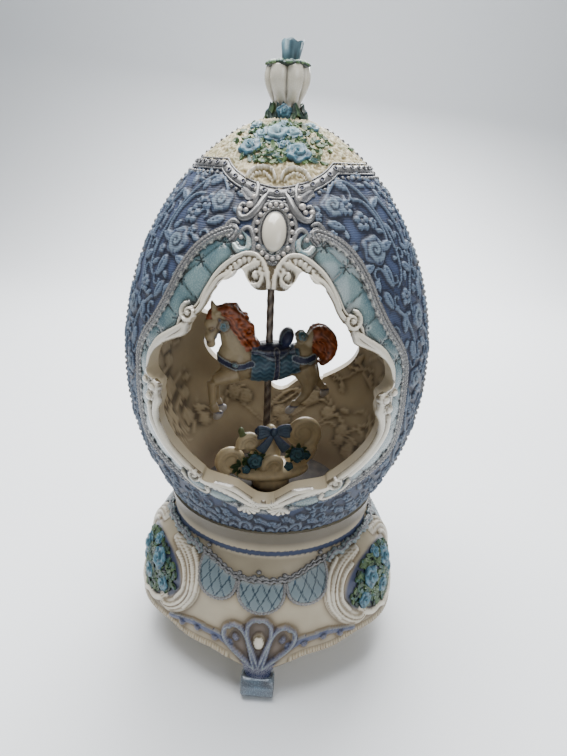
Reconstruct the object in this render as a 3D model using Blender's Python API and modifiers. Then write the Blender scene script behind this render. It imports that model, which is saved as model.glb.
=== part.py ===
"""A painted egg with a carousel horse inside, standing on its own three-footed stand.

Millimetres are used for every size here and turned to metres where a mesh is made.
The table is at height 0, the egg's axis is the Z axis and its front faces -Y.
An azimuth is in degrees, 0 at the front and growing towards +X.
"""

import math

import bmesh
import bpy
from mathutils import Matrix, Vector

MM = 0.001
FIT_GAP = 0.3
SEAT_GAP = 0.6

# Stand
FOOT_COUNT = 3
FOOT_ROLL_RADIUS = 4.0
FOOT_ROLL_WIDTH = 10.4
FOOT_ROLL_SIDES = 14
FOOT_REACH = 43.0
SKIRT_EDGE_Z = 16.0
SKIRT_RADIUS = 44.0
SKIRT_DIP = 4.5
BELLY_Z = 31.0
BELLY_RADIUS = 41.6
NECK_Z = 45.0
NECK_RADIUS = 33.4
COLLAR_Z = 55.0
COLLAR_RADIUS = 35.2
CARTOUCHE_BULGE = 2.6
CARTOUCHE_HALF_ANGLE = 30.0

# Egg
EGG_RADIUS = 47.0
EGG_DROP = 66.9
EGG_RISE = 70.7
EGG_DROP_POWER = 0.578
EGG_RISE_POWER = 0.602
EGG_BOTTOM_Z = 32.9
EGG_WALL = 3.6
FLOOR_THICKNESS = 17.1
CROWN_THICKNESS = 8.0

# Window, the same at the front and at the back
WINDOW_HALF_WIDTH = 31.2
WINDOW_SILL_RISE = 38.4
WINDOW_HEIGHT = 63.0
FRAME_RADIUS = 2.1

# Borders and crest
ROPE_RADIUS = 1.15
RIBBON_RADIUS = 1.1
CAP_EDGE_RISE = 118.1
CAP_CORNER_LIFT = 6.6
BEAD_LINE_RADIUS = 0.95
PEARL_HALF_WIDTH = 2.95
PEARL_HALF_HEIGHT = 5.1
PEARL_HALF_DEPTH = 2.4
PEARL_RISE = 109.9

# Finial
FINIAL_FOOT_RADIUS = 6.6
FINIAL_NECK_RADIUS = 3.9
FINIAL_CUP_RADIUS = 6.3
FINIAL_CUP_HEIGHT = 10.0
FINIAL_FOOT_HEIGHT = 5.2
FINIAL_STUB_RADIUS = 2.5
FINIAL_STUB_HEIGHT = 6.4
FINIAL_LEAN = 3.0

# Pole, horse and the scroll plinth that carries them. The horse and the plinth are drawn
# further down at their drawn length and width, and scaled from there.
POLE_RADIUS = 1.25
POLE_X = -2.6
SCENE_TURN = 15.0
HORSE_LENGTH = 43.0
HORSE_DRAWN_LENGTH = 43.0
HORSE_BACK_RISE = 69.8
PLINTH_WIDTH = 36.0
PLINTH_DRAWN_WIDTH = 36.0
PLINTH_LIFT = 3.6
POLE_SOCKET_RISE = 3.0
ROOF_FALL = 0.35

# Shares of the triangles kept where a carved piece is thinned, and the grain it is carved at
HORSE_KEPT = 0.040
PLINTH_KEPT = 0.055
STAND_KEPT = 0.44
EGG_KEPT = 0.465
FINIAL_KEPT = 0.72
HORSE_GRAIN = 0.55
PLINTH_GRAIN = 0.75

EGG_CENTRE_Z = EGG_BOTTOM_Z + EGG_DROP
EGG_TOP_Z = EGG_CENTRE_Z + EGG_RISE
FLOOR_Z = EGG_BOTTOM_Z + FLOOR_THICKNESS
CEILING_Z = EGG_TOP_Z - CROWN_THICKNESS
WINDOW_SILL_Z = EGG_BOTTOM_Z + WINDOW_SILL_RISE
CAP_EDGE_Z = EGG_BOTTOM_Z + CAP_EDGE_RISE

# Half of the window's outline from the middle of its head down to the sill, as shares of the
# half width and of the height: volute, two cusps, shoulder, side knobs, lower knob and point.
WINDOW_OUTLINE = (
    (0.000, 0.938), (0.060, 0.930), (0.125, 0.932), (0.185, 0.965), (0.212, 0.998),
    (0.272, 1.000), (0.310, 0.955), (0.394, 0.952), (0.480, 0.892), (0.520, 0.845),
    (0.606, 0.792), (0.652, 0.762), (0.662, 0.730), (0.753, 0.710), (0.850, 0.684),
    (0.936, 0.646), (0.990, 0.594), (1.000, 0.542), (0.962, 0.514), (0.898, 0.502),
    (0.905, 0.468), (0.918, 0.456), (0.900, 0.420), (0.948, 0.370), (0.954, 0.322),
    (0.882, 0.246), (0.756, 0.183), (0.604, 0.127), (0.545, 0.110), (0.528, 0.090),
    (0.385, 0.087), (0.256, 0.079), (0.204, 0.062), (0.144, 0.036), (0.077, 0.010),
)
# Half of the rope border round the quilted band: azimuth in degrees, share of the window's height.
ROPE_OUTLINE = (
    (17.0, 1.138), (24.0, 1.112), (30.4, 1.058), (35.0, 0.972), (37.4, 0.876), (42.0, 0.770),
    (48.2, 0.680), (51.0, 0.600), (50.6, 0.490), (51.0, 0.360), (51.4, 0.230), (48.5, 0.160),
    (41.5, 0.105), (33.0, 0.050), (22.0, 0.000), (10.0, -0.045),
)


def egg_radius(z, outward=0.0):
    """Radius of the egg at a height, with the surface moved outward."""
    rise = EGG_RISE + outward
    drop = EGG_DROP + outward
    share = (z - EGG_CENTRE_Z) / (rise if z > EGG_CENTRE_Z else drop)
    power = EGG_RISE_POWER if z > EGG_CENTRE_Z else EGG_DROP_POWER
    return (EGG_RADIUS + outward) * max(0.0, 1.0 - share * share) ** power


def at_azimuth(azimuth, radius, z):
    angle = math.radians(azimuth)
    return Vector((radius * math.sin(angle), -radius * math.cos(angle), z))


def on_egg(azimuth, z, outward=0.0):
    return at_azimuth(azimuth, egg_radius(z) + outward, z)


def egg_profile(outward, low_z, high_z, count):
    """Points down the egg's outer side, closer together towards both ends."""
    points = []
    for i in range(count + 1):
        angle = math.pi * i / count
        z = (high_z + low_z) / 2 + (high_z - low_z) / 2 * math.cos(angle)
        points.append((egg_radius(z, outward), z))
    return points


def smooth_step(share):
    share = min(1.0, max(0.0, share))
    return share * share * (3 - 2 * share)


# Materials


def material(name, colour, roughness, metallic=0.0):
    made = bpy.data.materials.new(name)
    made.use_nodes = True
    shader = made.node_tree.nodes["Principled BSDF"]
    shader.inputs["Base Color"].default_value = (*colour, 1.0)
    shader.inputs["Roughness"].default_value = roughness
    shader.inputs["Metallic"].default_value = metallic
    made.diffuse_color = (*colour, 1.0)
    return made


# Meshes and objects


def new_object(name, mesh, collection, look=None):
    made = bpy.data.objects.new(name, mesh)
    collection.objects.link(made)
    if look:
        mesh.materials.append(look)
    return made


def hide_tool(tool):
    tool.hide_render = True
    tool.display_type = "WIRE"


def mesh_from(name, shape):
    bmesh.ops.recalc_face_normals(shape, faces=shape.faces)
    mesh = bpy.data.meshes.new(name)
    shape.to_mesh(mesh)
    shape.free()
    return mesh


def turned(name, profile, steps, collection):
    """A turned solid: a profile down the outer side, given a Screw modifier about Z."""
    shape = bmesh.new()
    ends = [(0.0, profile[0][1])] if profile[0][0] > 0 else []
    tail = [(0.0, profile[-1][1])] if profile[-1][0] > 0 else []
    corners = [shape.verts.new((r * MM, 0.0, z * MM)) for r, z in ends + list(profile) + tail]
    for start, end in zip(corners, corners[1:]):
        shape.edges.new((start, end))
    mesh = bpy.data.meshes.new(name)
    shape.to_mesh(mesh)
    shape.free()
    made = new_object(name, mesh, collection)
    screw = made.modifiers.new("turned", "SCREW")
    screw.steps = steps
    screw.render_steps = steps
    screw.use_merge_vertices = True
    screw.merge_threshold = 0.00001
    return made


def tube(points, radii, resolution=0, closed=False):
    """A rod or moulding along points, in a mesh of its own with welded caps."""
    curve = bpy.data.curves.new("moulding", "CURVE")
    curve.dimensions = "3D"
    curve.bevel_depth = 1.0
    curve.bevel_resolution = resolution
    curve.use_fill_caps = not closed
    spline = curve.splines.new("POLY")
    spline.points.add(len(points) - 1)
    spline.use_cyclic_u = closed
    for i, place in enumerate(points):
        spline.points[i].co = (place[0] * MM, place[1] * MM, place[2] * MM, 1.0)
        spline.points[i].radius = (radii[i] if isinstance(radii, (list, tuple)) else radii) * MM
    holder = bpy.data.objects.new("moulding", curve)
    bpy.context.scene.collection.objects.link(holder)
    graph = bpy.context.evaluated_depsgraph_get()
    mesh = bpy.data.meshes.new_from_object(holder.evaluated_get(graph))
    bpy.data.objects.remove(holder)
    bpy.data.curves.remove(curve)
    shape = bmesh.new()
    shape.from_mesh(mesh)
    bmesh.ops.remove_doubles(shape, verts=shape.verts, dist=0.000001)
    bpy.data.meshes.remove(mesh)
    return mesh_from("moulding", shape)


def ball(centre, semi, turn=0.0, tilt=0.0, sides=8, rings=5):
    """An egg-shaped lump: tilt leans it about its own depth, turn swings it about Z."""
    shape = bmesh.new()
    bmesh.ops.create_uvsphere(shape, u_segments=sides, v_segments=rings, radius=1.0)
    stretch = Matrix.Diagonal((semi[0] * MM, semi[1] * MM, semi[2] * MM, 1.0))
    lean = Matrix.Rotation(math.radians(tilt), 4, "Y")
    swing = Matrix.Rotation(math.radians(turn), 4, "Z")
    place = Matrix.Translation(Vector(centre) * MM)
    bmesh.ops.transform(shape, matrix=place @ swing @ lean @ stretch, verts=shape.verts)
    return mesh_from("lump", shape)


def facing(place, outward):
    """A frame at a place whose Z points outward and whose X runs level."""
    z_axis = Vector(outward).normalized()
    x_axis = Vector((-z_axis.y, z_axis.x, 0.0))
    x_axis = x_axis.normalized() if x_axis.length > 0.001 else Vector((1.0, 0.0, 0.0))
    y_axis = z_axis.cross(x_axis)
    frame = Matrix((x_axis, y_axis, z_axis)).transposed().to_4x4()
    frame.translation = Vector(place) * MM
    return frame


def rose(place, outward, radius, spin=0.0):
    """A rose: outer petals, a raised inner whorl and a dimple, on five sides."""
    shape = bmesh.new()
    rings = ((0.70, -0.50), (1.00, 0.25), (0.62, 0.62), (0.42, 0.50))
    rows = []
    for ring, (reach, height) in enumerate(rings):
        row = []
        for i in range(5):
            angle = 2 * math.pi * (i + 0.5 * ring) / 5 + math.radians(spin)
            x, y = reach * radius * math.cos(angle), reach * radius * math.sin(angle)
            row.append(shape.verts.new((x * MM, y * MM, height * radius * MM)))
        rows.append(row)
    for low, high in zip(rows, rows[1:]):
        for i in range(5):
            shape.faces.new((low[i], low[(i + 1) % 5], high[i]))
            shape.faces.new((low[(i + 1) % 5], high[(i + 1) % 5], high[i]))
    shape.faces.new(reversed(rows[0]))
    shape.faces.new(rows[-1])
    bmesh.ops.transform(shape, matrix=facing(place, outward), verts=shape.verts)
    return mesh_from("rose", shape)


def leaf(place, outward, length, spin):
    """A pointed leaf with a raised midrib."""
    shape = bmesh.new()
    outline = ((-0.5, 0.0), (0.0, -0.28), (0.5, 0.0), (0.0, 0.28))
    low = [shape.verts.new((x * length * MM, y * length * MM, -0.2 * length * MM)) for x, y in outline]
    top = [shape.verts.new((x * length * 0.5 * MM, 0.0, 0.22 * length * MM)) for x in (-0.5, 0.5)]
    shape.faces.new(reversed(low))
    shape.faces.new((low[0], low[1], top[0]))
    shape.faces.new((low[1], top[1], top[0]))
    shape.faces.new((low[1], low[2], top[1]))
    shape.faces.new((low[2], low[3], top[1]))
    shape.faces.new((low[3], top[0], top[1]))
    shape.faces.new((low[3], low[0], top[0]))
    spun = Matrix.Rotation(math.radians(spin), 4, "Z")
    bmesh.ops.transform(shape, matrix=facing(place, outward) @ spun, verts=shape.verts)
    return mesh_from("leaf", shape)


def prism(name, outline, depth, collection):
    """A flat outline in X and Z run through the object along Y, as a cutter."""
    shape = bmesh.new()
    corners = [shape.verts.new((x * MM, -depth * MM, z * MM)) for x, z in outline]
    face = shape.faces.new(corners)
    swept = bmesh.ops.extrude_face_region(shape, geom=[face])
    moved = [item for item in swept["geom"] if isinstance(item, bmesh.types.BMVert)]
    bmesh.ops.translate(shape, verts=moved, vec=(0.0, 2 * depth * MM, 0.0))
    made = new_object(name, mesh_from(name, shape), collection)
    hide_tool(made)
    return made


def gathered(name, meshes, collection):
    """Several meshes in one object, to be joined or cut as one tool."""
    shape = bmesh.new()
    for mesh in meshes:
        shape.from_mesh(mesh)
        bpy.data.meshes.remove(mesh)
    joined = bpy.data.meshes.new(name)
    shape.to_mesh(joined)
    shape.free()
    made = new_object(name, joined, collection)
    hide_tool(made)
    return made


def boolean(target, tool, operation, solver="EXACT"):
    step = target.modifiers.new(tool.name, "BOOLEAN")
    step.object = tool
    step.operation = operation
    step.solver = solver
    step.use_self = operation == "UNION"
    return step


def thin_out(target, kept):
    """Drops the small triangles that joining leaves, down to a share of them."""
    step = target.modifiers.new("thinned", "DECIMATE")
    step.ratio = kept
    return step


def carved(name, meshes, grain, kept, collection):
    """Overlapping lumps run together into one skin, then thinned to the triangles kept."""
    made = gathered(name, meshes, collection)
    made.hide_render = False
    made.display_type = "TEXTURED"
    skin = made.modifiers.new("one skin", "REMESH")
    skin.mode = "VOXEL"
    skin.voxel_size = grain * MM
    skin.use_smooth_shade = True
    thin_out(made, kept)
    return made


# Stand


def stand_radius(azimuth, z):
    """The stand's waisted profile, bulging out at the three cartouches."""
    span = 360.0 / FOOT_COUNT
    from_foot = abs((azimuth + span / 2) % span - span / 2)
    if z >= NECK_Z:
        radius = NECK_RADIUS + (COLLAR_RADIUS - NECK_RADIUS) * (z - NECK_Z) / (COLLAR_Z - NECK_Z)
    elif z >= BELLY_Z:
        share = (NECK_Z - z) / (NECK_Z - BELLY_Z)
        radius = NECK_RADIUS + (BELLY_RADIUS - NECK_RADIUS) * math.sin(share * math.pi / 2) ** 0.9
    else:
        share = (BELLY_Z - z) / (BELLY_Z - SKIRT_EDGE_Z)
        radius = BELLY_RADIUS + (SKIRT_RADIUS - BELLY_RADIUS) * share
    side = smooth_step(1 - (span / 2 - from_foot) / CARTOUCHE_HALF_ANGLE)
    height = smooth_step((NECK_Z + 4 - z) / 8)
    return radius + CARTOUCHE_BULGE * side * height


def skirt_edge(azimuth):
    """The skirt hangs lowest at each foot and is cut up under each cartouche."""
    span = 360.0 / FOOT_COUNT
    from_foot = abs((azimuth + span / 2) % span - span / 2)
    return SKIRT_EDGE_Z - SKIRT_DIP * (1 - smooth_step(from_foot / 22.0)) + 2.0 * smooth_step((from_foot - 30) / 15)


def on_stand(azimuth, z, outward=0.0):
    return at_azimuth(azimuth, stand_radius(azimuth, z) + outward, z)


def stand_body():
    """Rings from the skirt's edge to the collar, closed below and above."""
    sides = 48
    levels = (0.0, 0.16, 0.36, 0.52, 0.66, 0.78, 0.88, 1.0)
    shape = bmesh.new()
    rows = []
    for level in levels:
        row = []
        for i in range(sides):
            azimuth = 360.0 * i / sides
            z = skirt_edge(azimuth) + (NECK_Z - skirt_edge(azimuth)) * level
            row.append(shape.verts.new(on_stand(azimuth, z) * MM))
        rows.append(row)
    rows.append([shape.verts.new(on_stand(360.0 * i / sides, COLLAR_Z) * MM) for i in range(sides)])
    for low, high in zip(rows, rows[1:]):
        for i in range(sides):
            j = (i + 1) % sides
            shape.faces.new((low[i], low[j], high[j], high[i]))
    below = shape.verts.new((0.0, 0.0, SKIRT_EDGE_Z * MM))
    for i in range(sides):
        shape.faces.new((rows[0][(i + 1) % sides], rows[0][i], below))
    shape.faces.new(rows[-1])
    return mesh_from("stand", shape)


def foot(azimuth):
    """A scrolled roll that meets the table on a flat, and the neck above it."""
    parts = []
    shape = bmesh.new()
    bmesh.ops.create_cone(
        shape, cap_ends=True, segments=FOOT_ROLL_SIDES, radius1=FOOT_ROLL_RADIUS * MM,
        radius2=FOOT_ROLL_RADIUS * MM, depth=FOOT_ROLL_WIDTH * MM,
    )
    lying = Matrix.Rotation(math.radians(azimuth), 4, "Z") @ Matrix.Rotation(math.radians(90), 4, "Y")
    flat_drop = FOOT_ROLL_RADIUS * math.cos(math.pi / FOOT_ROLL_SIDES)
    centre = at_azimuth(azimuth, FOOT_REACH, flat_drop) * MM
    bmesh.ops.transform(shape, matrix=Matrix.Translation(centre) @ lying, verts=shape.verts)
    parts.append(mesh_from("roll", shape))
    neck_low = at_azimuth(azimuth, FOOT_REACH - 1.0, FOOT_ROLL_RADIUS)
    neck_top = at_azimuth(azimuth, SKIRT_RADIUS - 5.0, SKIRT_EDGE_Z + 1.0)
    parts.append(tube([neck_low, (neck_low + neck_top) / 2, neck_top], [3.6, 4.4, 5.6], 1))
    return parts


def fan(azimuth):
    """Three petals spread above a foot."""
    parts = []
    for aside, lean, half in ((0.0, 0.0, 4.1), (-7.6, -38.0, 3.0), (7.6, 38.0, 3.0)):
        middle = on_stand(azimuth + aside, SKIRT_EDGE_Z + 5.0, 0.2)
        parts.append(ball(middle, (half, 1.6, 8.2), turn=azimuth + aside, tilt=lean, sides=8, rings=5))
    return parts


def waist(share):
    """A height on the stand, given as a share of the neck's rise over the belly, counted up from the neck."""
    return NECK_Z + (NECK_Z - BELLY_Z) * share


def cartouche(azimuth):
    """Two C-scrolls round a posy of roses and leaves."""
    parts = []
    top_z, low_z = NECK_Z + 3.0, SKIRT_EDGE_Z + 7.5
    for side in (-1, 1):
        points, radii = [], []
        for i in range(9):
            share = i / 8
            swing = math.sin(math.pi * (0.12 + 0.80 * share))
            angle = azimuth + side * (13.0 + 16.0 * swing)
            z = top_z + (low_z - top_z) * share
            points.append(on_stand(angle, z, 0.7))
            radii.append(1.0 + 1.5 * math.sin(math.pi * (0.15 + 0.7 * share)))
        parts.append(tube(points, radii, 0))
    for aside, share, size in ((-4.0, -0.143, 3.6), (5.0, -0.643, 4.2), (-3.0, -1.143, 3.8)):
        place = on_stand(azimuth + aside, waist(share), 0.2)
        parts.append(rose(place, (place.x, place.y, 6.0), size, spin=share * 98))
    sprays = ((-9.0, -0.571, 80), (6.0, 0.0, 30), (9.0, -1.107, 120), (-8.0, 0.071, 60), (1.0, -1.536, 95))
    for aside, share, spin in sprays:
        place = on_stand(azimuth + aside, waist(share), 0.4)
        parts.append(leaf(place, (place.x, place.y, 4.0), 7.5, spin))
    return parts


def swags(azimuth):
    """Three hanging scallops and the beaded cord that they hang from."""
    parts = []
    top = [(-33.0, 0.321), (-26.0, 0.029), (-20.0, -0.143), (-10.5, -0.286), (0.0, -0.314)]
    top += [(-angle, share) for angle, share in reversed(top[:-1])]
    parts.append(tube([on_stand(azimuth + angle, waist(share), 0.25) for angle, share in top], 0.85))
    scallops = ((0.0, 10.3, -0.286, -1.0), (-21.0, 9.6, -0.186, -0.843), (21.0, 9.6, -0.186, -0.843))
    for middle, half, high, low in scallops:
        points = []
        for i in range(7):
            swing = math.pi * i / 6
            share = high - (high - low) * math.sin(swing) ** 0.8
            points.append(on_stand(azimuth + middle - half * math.cos(swing), waist(share), 0.2))
        parts.append(tube(points, 0.8))
    return parts


def make_stand(parts_in, tools_in, look):
    made = new_object("stand", stand_body(), parts_in, look)
    span = 360.0 / FOOT_COUNT
    feet, panels, frames = [], [], []
    for i in range(FOOT_COUNT):
        feet += foot(i * span)
        panels += swags(i * span) + fan(i * span)
        frames += cartouche((i + 0.5) * span)
    boolean(made, gathered("swags_and_fans", panels, tools_in), "UNION")
    boolean(made, gathered("cartouches", frames, tools_in), "UNION")
    thin_out(made, STAND_KEPT)
    boolean(made, gathered("feet", feet, tools_in), "UNION")
    seat_top = COLLAR_Z + 2.0
    seat_profile = egg_profile(SEAT_GAP, EGG_BOTTOM_Z - SEAT_GAP, 2 * seat_top - EGG_BOTTOM_Z, 10)
    seat_profile = [point for point in seat_profile if point[1] < seat_top]
    seat_profile.insert(0, (egg_radius(seat_top, SEAT_GAP), seat_top))
    seat = turned("egg_seat", seat_profile, 32, tools_in)
    hide_tool(seat)
    boolean(made, seat, "DIFFERENCE")
    return made


# Egg


def window_outline():
    half = [
        (x * WINDOW_HALF_WIDTH, WINDOW_SILL_Z + z * WINDOW_HEIGHT) for x, z in WINDOW_OUTLINE
    ]
    mirrored = [(-x, z) for x, z in reversed(half[1:])]
    return half + [(0.0, WINDOW_SILL_Z)] + mirrored


def frame_points(front):
    """The frame's middle line: the window's outline moved out and laid on the egg."""
    outline = window_outline()
    points = []
    for i, (x, z) in enumerate(outline):
        before, after = outline[i - 1], outline[(i + 1) % len(outline)]
        across = Vector((after[1] - before[1], before[0] - after[0]))
        across.normalize()
        x_out = x - across.x * FRAME_RADIUS * 0.62
        z_out = z - across.y * FRAME_RADIUS * 0.62
        radius = egg_radius(z_out) + 0.1
        points.append(Vector((x_out, front * math.sqrt(radius * radius - x_out * x_out), z_out)))
    return points


def cap_edge_z(azimuth):
    """The cap's edge dips to a point at the front and at the back between two corners."""
    from_front = abs((azimuth + 90.0) % 180.0 - 90.0)
    return CAP_EDGE_Z + CAP_CORNER_LIFT * smooth_step(from_front / 38.0)


def borders(facing_azimuth):
    """Window frame, rope border, crest scrolls and bezel of one side, with a moulded boss at the back."""
    front = -1.0 if facing_azimuth == 0.0 else 1.0
    parts = [tube(frame_points(front), FRAME_RADIUS, 0, closed=True)]
    half = [
        on_egg(facing_azimuth + angle, WINDOW_SILL_Z + share * WINDOW_HEIGHT, 0.2)
        for angle, share in ROPE_OUTLINE
    ]
    other = [
        on_egg(facing_azimuth - angle, WINDOW_SILL_Z + share * WINDOW_HEIGHT, 0.2)
        for angle, share in ROPE_OUTLINE
    ]
    parts.append(tube(half + other[::-1], ROPE_RADIUS))
    pearl_z = EGG_BOTTOM_Z + PEARL_RISE
    for side in (-1, 1):
        scroll = ((4.0, 5.2), (9.5, 5.6), (13.0, 3.4), (17.0, 1.2), (21.0, 1.6), (21.5, 3.8))
        points = [on_egg(facing_azimuth + side * a, pearl_z + rise, 0.5) for a, rise in scroll]
        parts.append(tube(points, [1.5, 1.7, 1.3, 1.1, 1.0, 0.7]))
        hook = ((10.0, 2.2), (11.8, -0.6), (11.2, -3.8), (14.5, -4.6))
        points = [on_egg(facing_azimuth + side * a, pearl_z + rise, 0.4) for a, rise in hook]
        parts.append(tube(points, [0.8, 1.1, 1.2, 0.8]))
    ring = []
    for i in range(14):
        angle = 2 * math.pi * i / 14
        z = pearl_z + (PEARL_HALF_HEIGHT + 1.5) * math.cos(angle) * 0.84
        aside = math.degrees((PEARL_HALF_WIDTH + 1.5) * math.sin(angle) / egg_radius(z))
        ring.append(on_egg(facing_azimuth + aside, z, 0.3))
    parts.append(tube(ring, 0.9, 0, closed=True))
    if facing_azimuth:
        boss = (PEARL_HALF_WIDTH, PEARL_HALF_DEPTH, PEARL_HALF_HEIGHT)
        parts.append(ball(on_egg(facing_azimuth, pearl_z, -0.6), boss))
    return parts


def cap_flowers():
    """Roses, buds and leaves spread over the cap round the finial."""
    parts = []
    for azimuth in (0.0, 180.0):
        for aside, drop, size in ((-27.0, 10.5, 2.9), (22.0, 11.5, 2.7), (-2.0, 6.3, 3.1), (70.0, 6.5, 2.0)):
            place = on_egg(azimuth + aside, EGG_TOP_Z - drop, 0.2)
            parts.append(rose(place, (place.x, place.y, 26.0), size, spin=aside))
        for aside, drop, spin in ((-6.0, 11.0, 20), (6.0, 13.0, 160), (40.0, 8.5, 60), (-48.0, 8.5, 120)):
            place = on_egg(azimuth + aside, EGG_TOP_Z - drop, 0.4)
            parts.append(leaf(place, (place.x, place.y, 24.0), 5.0, spin))
    return parts


def pearl_frame():
    place = on_egg(0.0, EGG_BOTTOM_Z + PEARL_RISE, 0.4)
    step = 1.0
    lower = egg_radius(place.z - step)
    upper = egg_radius(place.z + step)
    return place, math.degrees(math.atan2(lower - upper, 2 * step))


def pearl_mesh(grow):
    """The set pearl, leaning back with the egg's surface."""
    place, lean = pearl_frame()
    semi = [size + grow for size in (PEARL_HALF_WIDTH, PEARL_HALF_DEPTH, PEARL_HALF_HEIGHT)]
    shape = bmesh.new()
    bmesh.ops.create_uvsphere(shape, u_segments=12, v_segments=8, radius=1.0)
    stretch = Matrix.Diagonal((semi[0] * MM, semi[1] * MM, semi[2] * MM, 1.0))
    tilt = Matrix.Rotation(math.radians(-lean), 4, "X")
    bmesh.ops.transform(shape, matrix=Matrix.Translation(place * MM) @ tilt @ stretch, verts=shape.verts)
    return mesh_from("pearl", shape)


def make_egg(parts_in, tools_in, look):
    made = turned("egg_shell", egg_profile(0.0, EGG_BOTTOM_Z, EGG_TOP_Z, 14), 48, parts_in)
    made.data.materials.append(look)
    parts = borders(0.0) + borders(180.0)
    edge = [on_egg(angle, cap_edge_z(angle), 0.2) for angle in range(0, 360, 10)]
    parts.append(tube(edge, RIBBON_RADIUS, 0, closed=True))
    for azimuth in (90.0, 270.0):
        low, high = WINDOW_SILL_Z - 12.0, CAP_EDGE_Z + CAP_CORNER_LIFT
        run = [on_egg(azimuth, low + (high - low) * i / 14, 0.1) for i in range(15)]
        parts.append(tube(run, BEAD_LINE_RADIUS))
    boolean(made, gathered("mouldings", parts, tools_in), "UNION")
    # The steps after the mouldings use the manifold solver: the exact one leaves open edges here.
    boolean(made, gathered("cap_flowers", cap_flowers(), tools_in), "UNION", "MANIFOLD")
    thin_out(made, EGG_KEPT)
    inner = egg_profile(-EGG_WALL, FLOOR_Z, CEILING_Z, 10)
    cavity = turned("hollow", inner, 32, tools_in)
    hide_tool(cavity)
    boolean(made, cavity, "DIFFERENCE", "MANIFOLD")
    windows = prism("windows", window_outline(), EGG_RADIUS + 10.0, tools_in)
    boolean(made, windows, "DIFFERENCE", "MANIFOLD")
    socket = gathered("pearl_setting", [pearl_mesh(FIT_GAP)], tools_in)
    boolean(made, socket, "DIFFERENCE", "MANIFOLD")
    return made


def make_pearl(parts_in, look):
    mesh = pearl_mesh(0.0)
    mesh.shade_smooth()
    return new_object("pearl_cabochon", mesh, parts_in, look)


# Finial


def make_finial(parts_in, tools_in, look):
    """A fluted tulip cup on a leafy foot, with the broken stub that stands in it."""
    base_z = EGG_TOP_Z - 2.6
    foot_top = base_z + FINIAL_FOOT_HEIGHT
    cup_top = foot_top + FINIAL_CUP_HEIGHT
    sides = 18
    rows = (
        (FINIAL_FOOT_RADIUS, base_z, 0.10), (FINIAL_FOOT_RADIUS * 0.98, base_z + 1.6, 0.16),
        (FINIAL_NECK_RADIUS + 0.9, foot_top - 0.9, 0.08), (FINIAL_NECK_RADIUS, foot_top + 0.2, 0.05),
        (FINIAL_NECK_RADIUS + 0.7, foot_top + 1.9, 0.10), (FINIAL_CUP_RADIUS * 0.94, cup_top - 3.9, 0.11),
        (FINIAL_CUP_RADIUS, cup_top - 1.6, 0.10), (FINIAL_CUP_RADIUS * 0.9, cup_top, 0.12),
        (FINIAL_CUP_RADIUS * 0.66, cup_top - 0.3, 0.04), (FINIAL_STUB_RADIUS * 1.1, cup_top - 1.4, 0.0),
    )
    shape = bmesh.new()
    made_rows = []
    for radius, z, flute in rows:
        row = []
        for i in range(sides):
            angle = 2 * math.pi * i / sides
            reach = radius * (1 + flute * (abs(math.cos(3 * angle)) * 2 - 1.2) * 0.6)
            row.append(shape.verts.new((reach * math.cos(angle) * MM, reach * math.sin(angle) * MM, z * MM)))
        made_rows.append(row)
    for low, high in zip(made_rows, made_rows[1:]):
        for i in range(sides):
            j = (i + 1) % sides
            shape.faces.new((low[i], low[j], high[j], high[i]))
    shape.faces.new(reversed(made_rows[0]))
    shape.faces.new(made_rows[-1])
    made = new_object("finial", mesh_from("finial", shape), parts_in, look)
    lean = math.tan(math.radians(FINIAL_LEAN))
    stub = [Vector((0.4, 0.0, cup_top - 3.5)), Vector((0.6, 0.0, cup_top + FINIAL_STUB_HEIGHT * 0.4))]
    stub.append(Vector((0.9 + lean, 0.0, cup_top + FINIAL_STUB_HEIGHT)))
    radius = FINIAL_STUB_RADIUS
    parts = [tube(stub, [radius * 0.95, radius, radius * 1.3], 1)]
    leaves = []
    for i in range(7):
        azimuth = 360.0 * i / 7 + 26.0
        place = at_azimuth(azimuth, FINIAL_FOOT_RADIUS * 0.86, base_z + 2.5)
        leaves.append(leaf(place, (place.x, place.y, 5.0), 4.6, 90))
    front = at_azimuth(0.0, FINIAL_FOOT_RADIUS * 0.84, base_z + 3.1)
    leaves.append(rose(front, (front.x, front.y, 2.5), 2.0))
    boolean(made, gathered("finial_stub", parts, tools_in), "UNION")
    boolean(made, gathered("finial_leaves", leaves, tools_in), "UNION")
    thin_out(made, FINIAL_KEPT)
    seat_profile = egg_profile(FIT_GAP, EGG_TOP_Z - 30.0, EGG_TOP_Z + FIT_GAP, 8)
    seat = turned("finial_seat", seat_profile, 32, tools_in)
    hide_tool(seat)
    boolean(made, seat, "DIFFERENCE")
    return made


# Pole, plinth and horse


def in_scene(u, v, w):
    """A point of the horse's own frame: along it, across it and up, turned about the pole."""
    turn = math.radians(SCENE_TURN)
    x = u * math.cos(turn) - v * math.sin(turn)
    y = u * math.sin(turn) + v * math.cos(turn)
    return Vector((POLE_X + x, y, w))


def make_pole(parts_in, look):
    low = FLOOR_Z + PLINTH_LIFT + POLE_SOCKET_RISE
    high = inner_ceiling() - FIT_GAP
    mesh = tube([(POLE_X, 0.0, low), (POLE_X, 0.0, high)], POLE_RADIUS, 2)
    mesh.shade_smooth()
    mesh.set_sharp_from_angle(angle=math.radians(50))
    return new_object("pole", mesh, parts_in, look)


def inner_ceiling():
    """Height of the hollow's roof over the pole, which stands off the axis where the roof curves down."""
    return CEILING_Z - ROOF_FALL


def pole_hole(name, low, high, tools_in):
    hole = tube([(POLE_X, 0.0, low), (POLE_X, 0.0, high)], POLE_RADIUS + FIT_GAP, 2)
    return gathered(name, [hole], tools_in)


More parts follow.
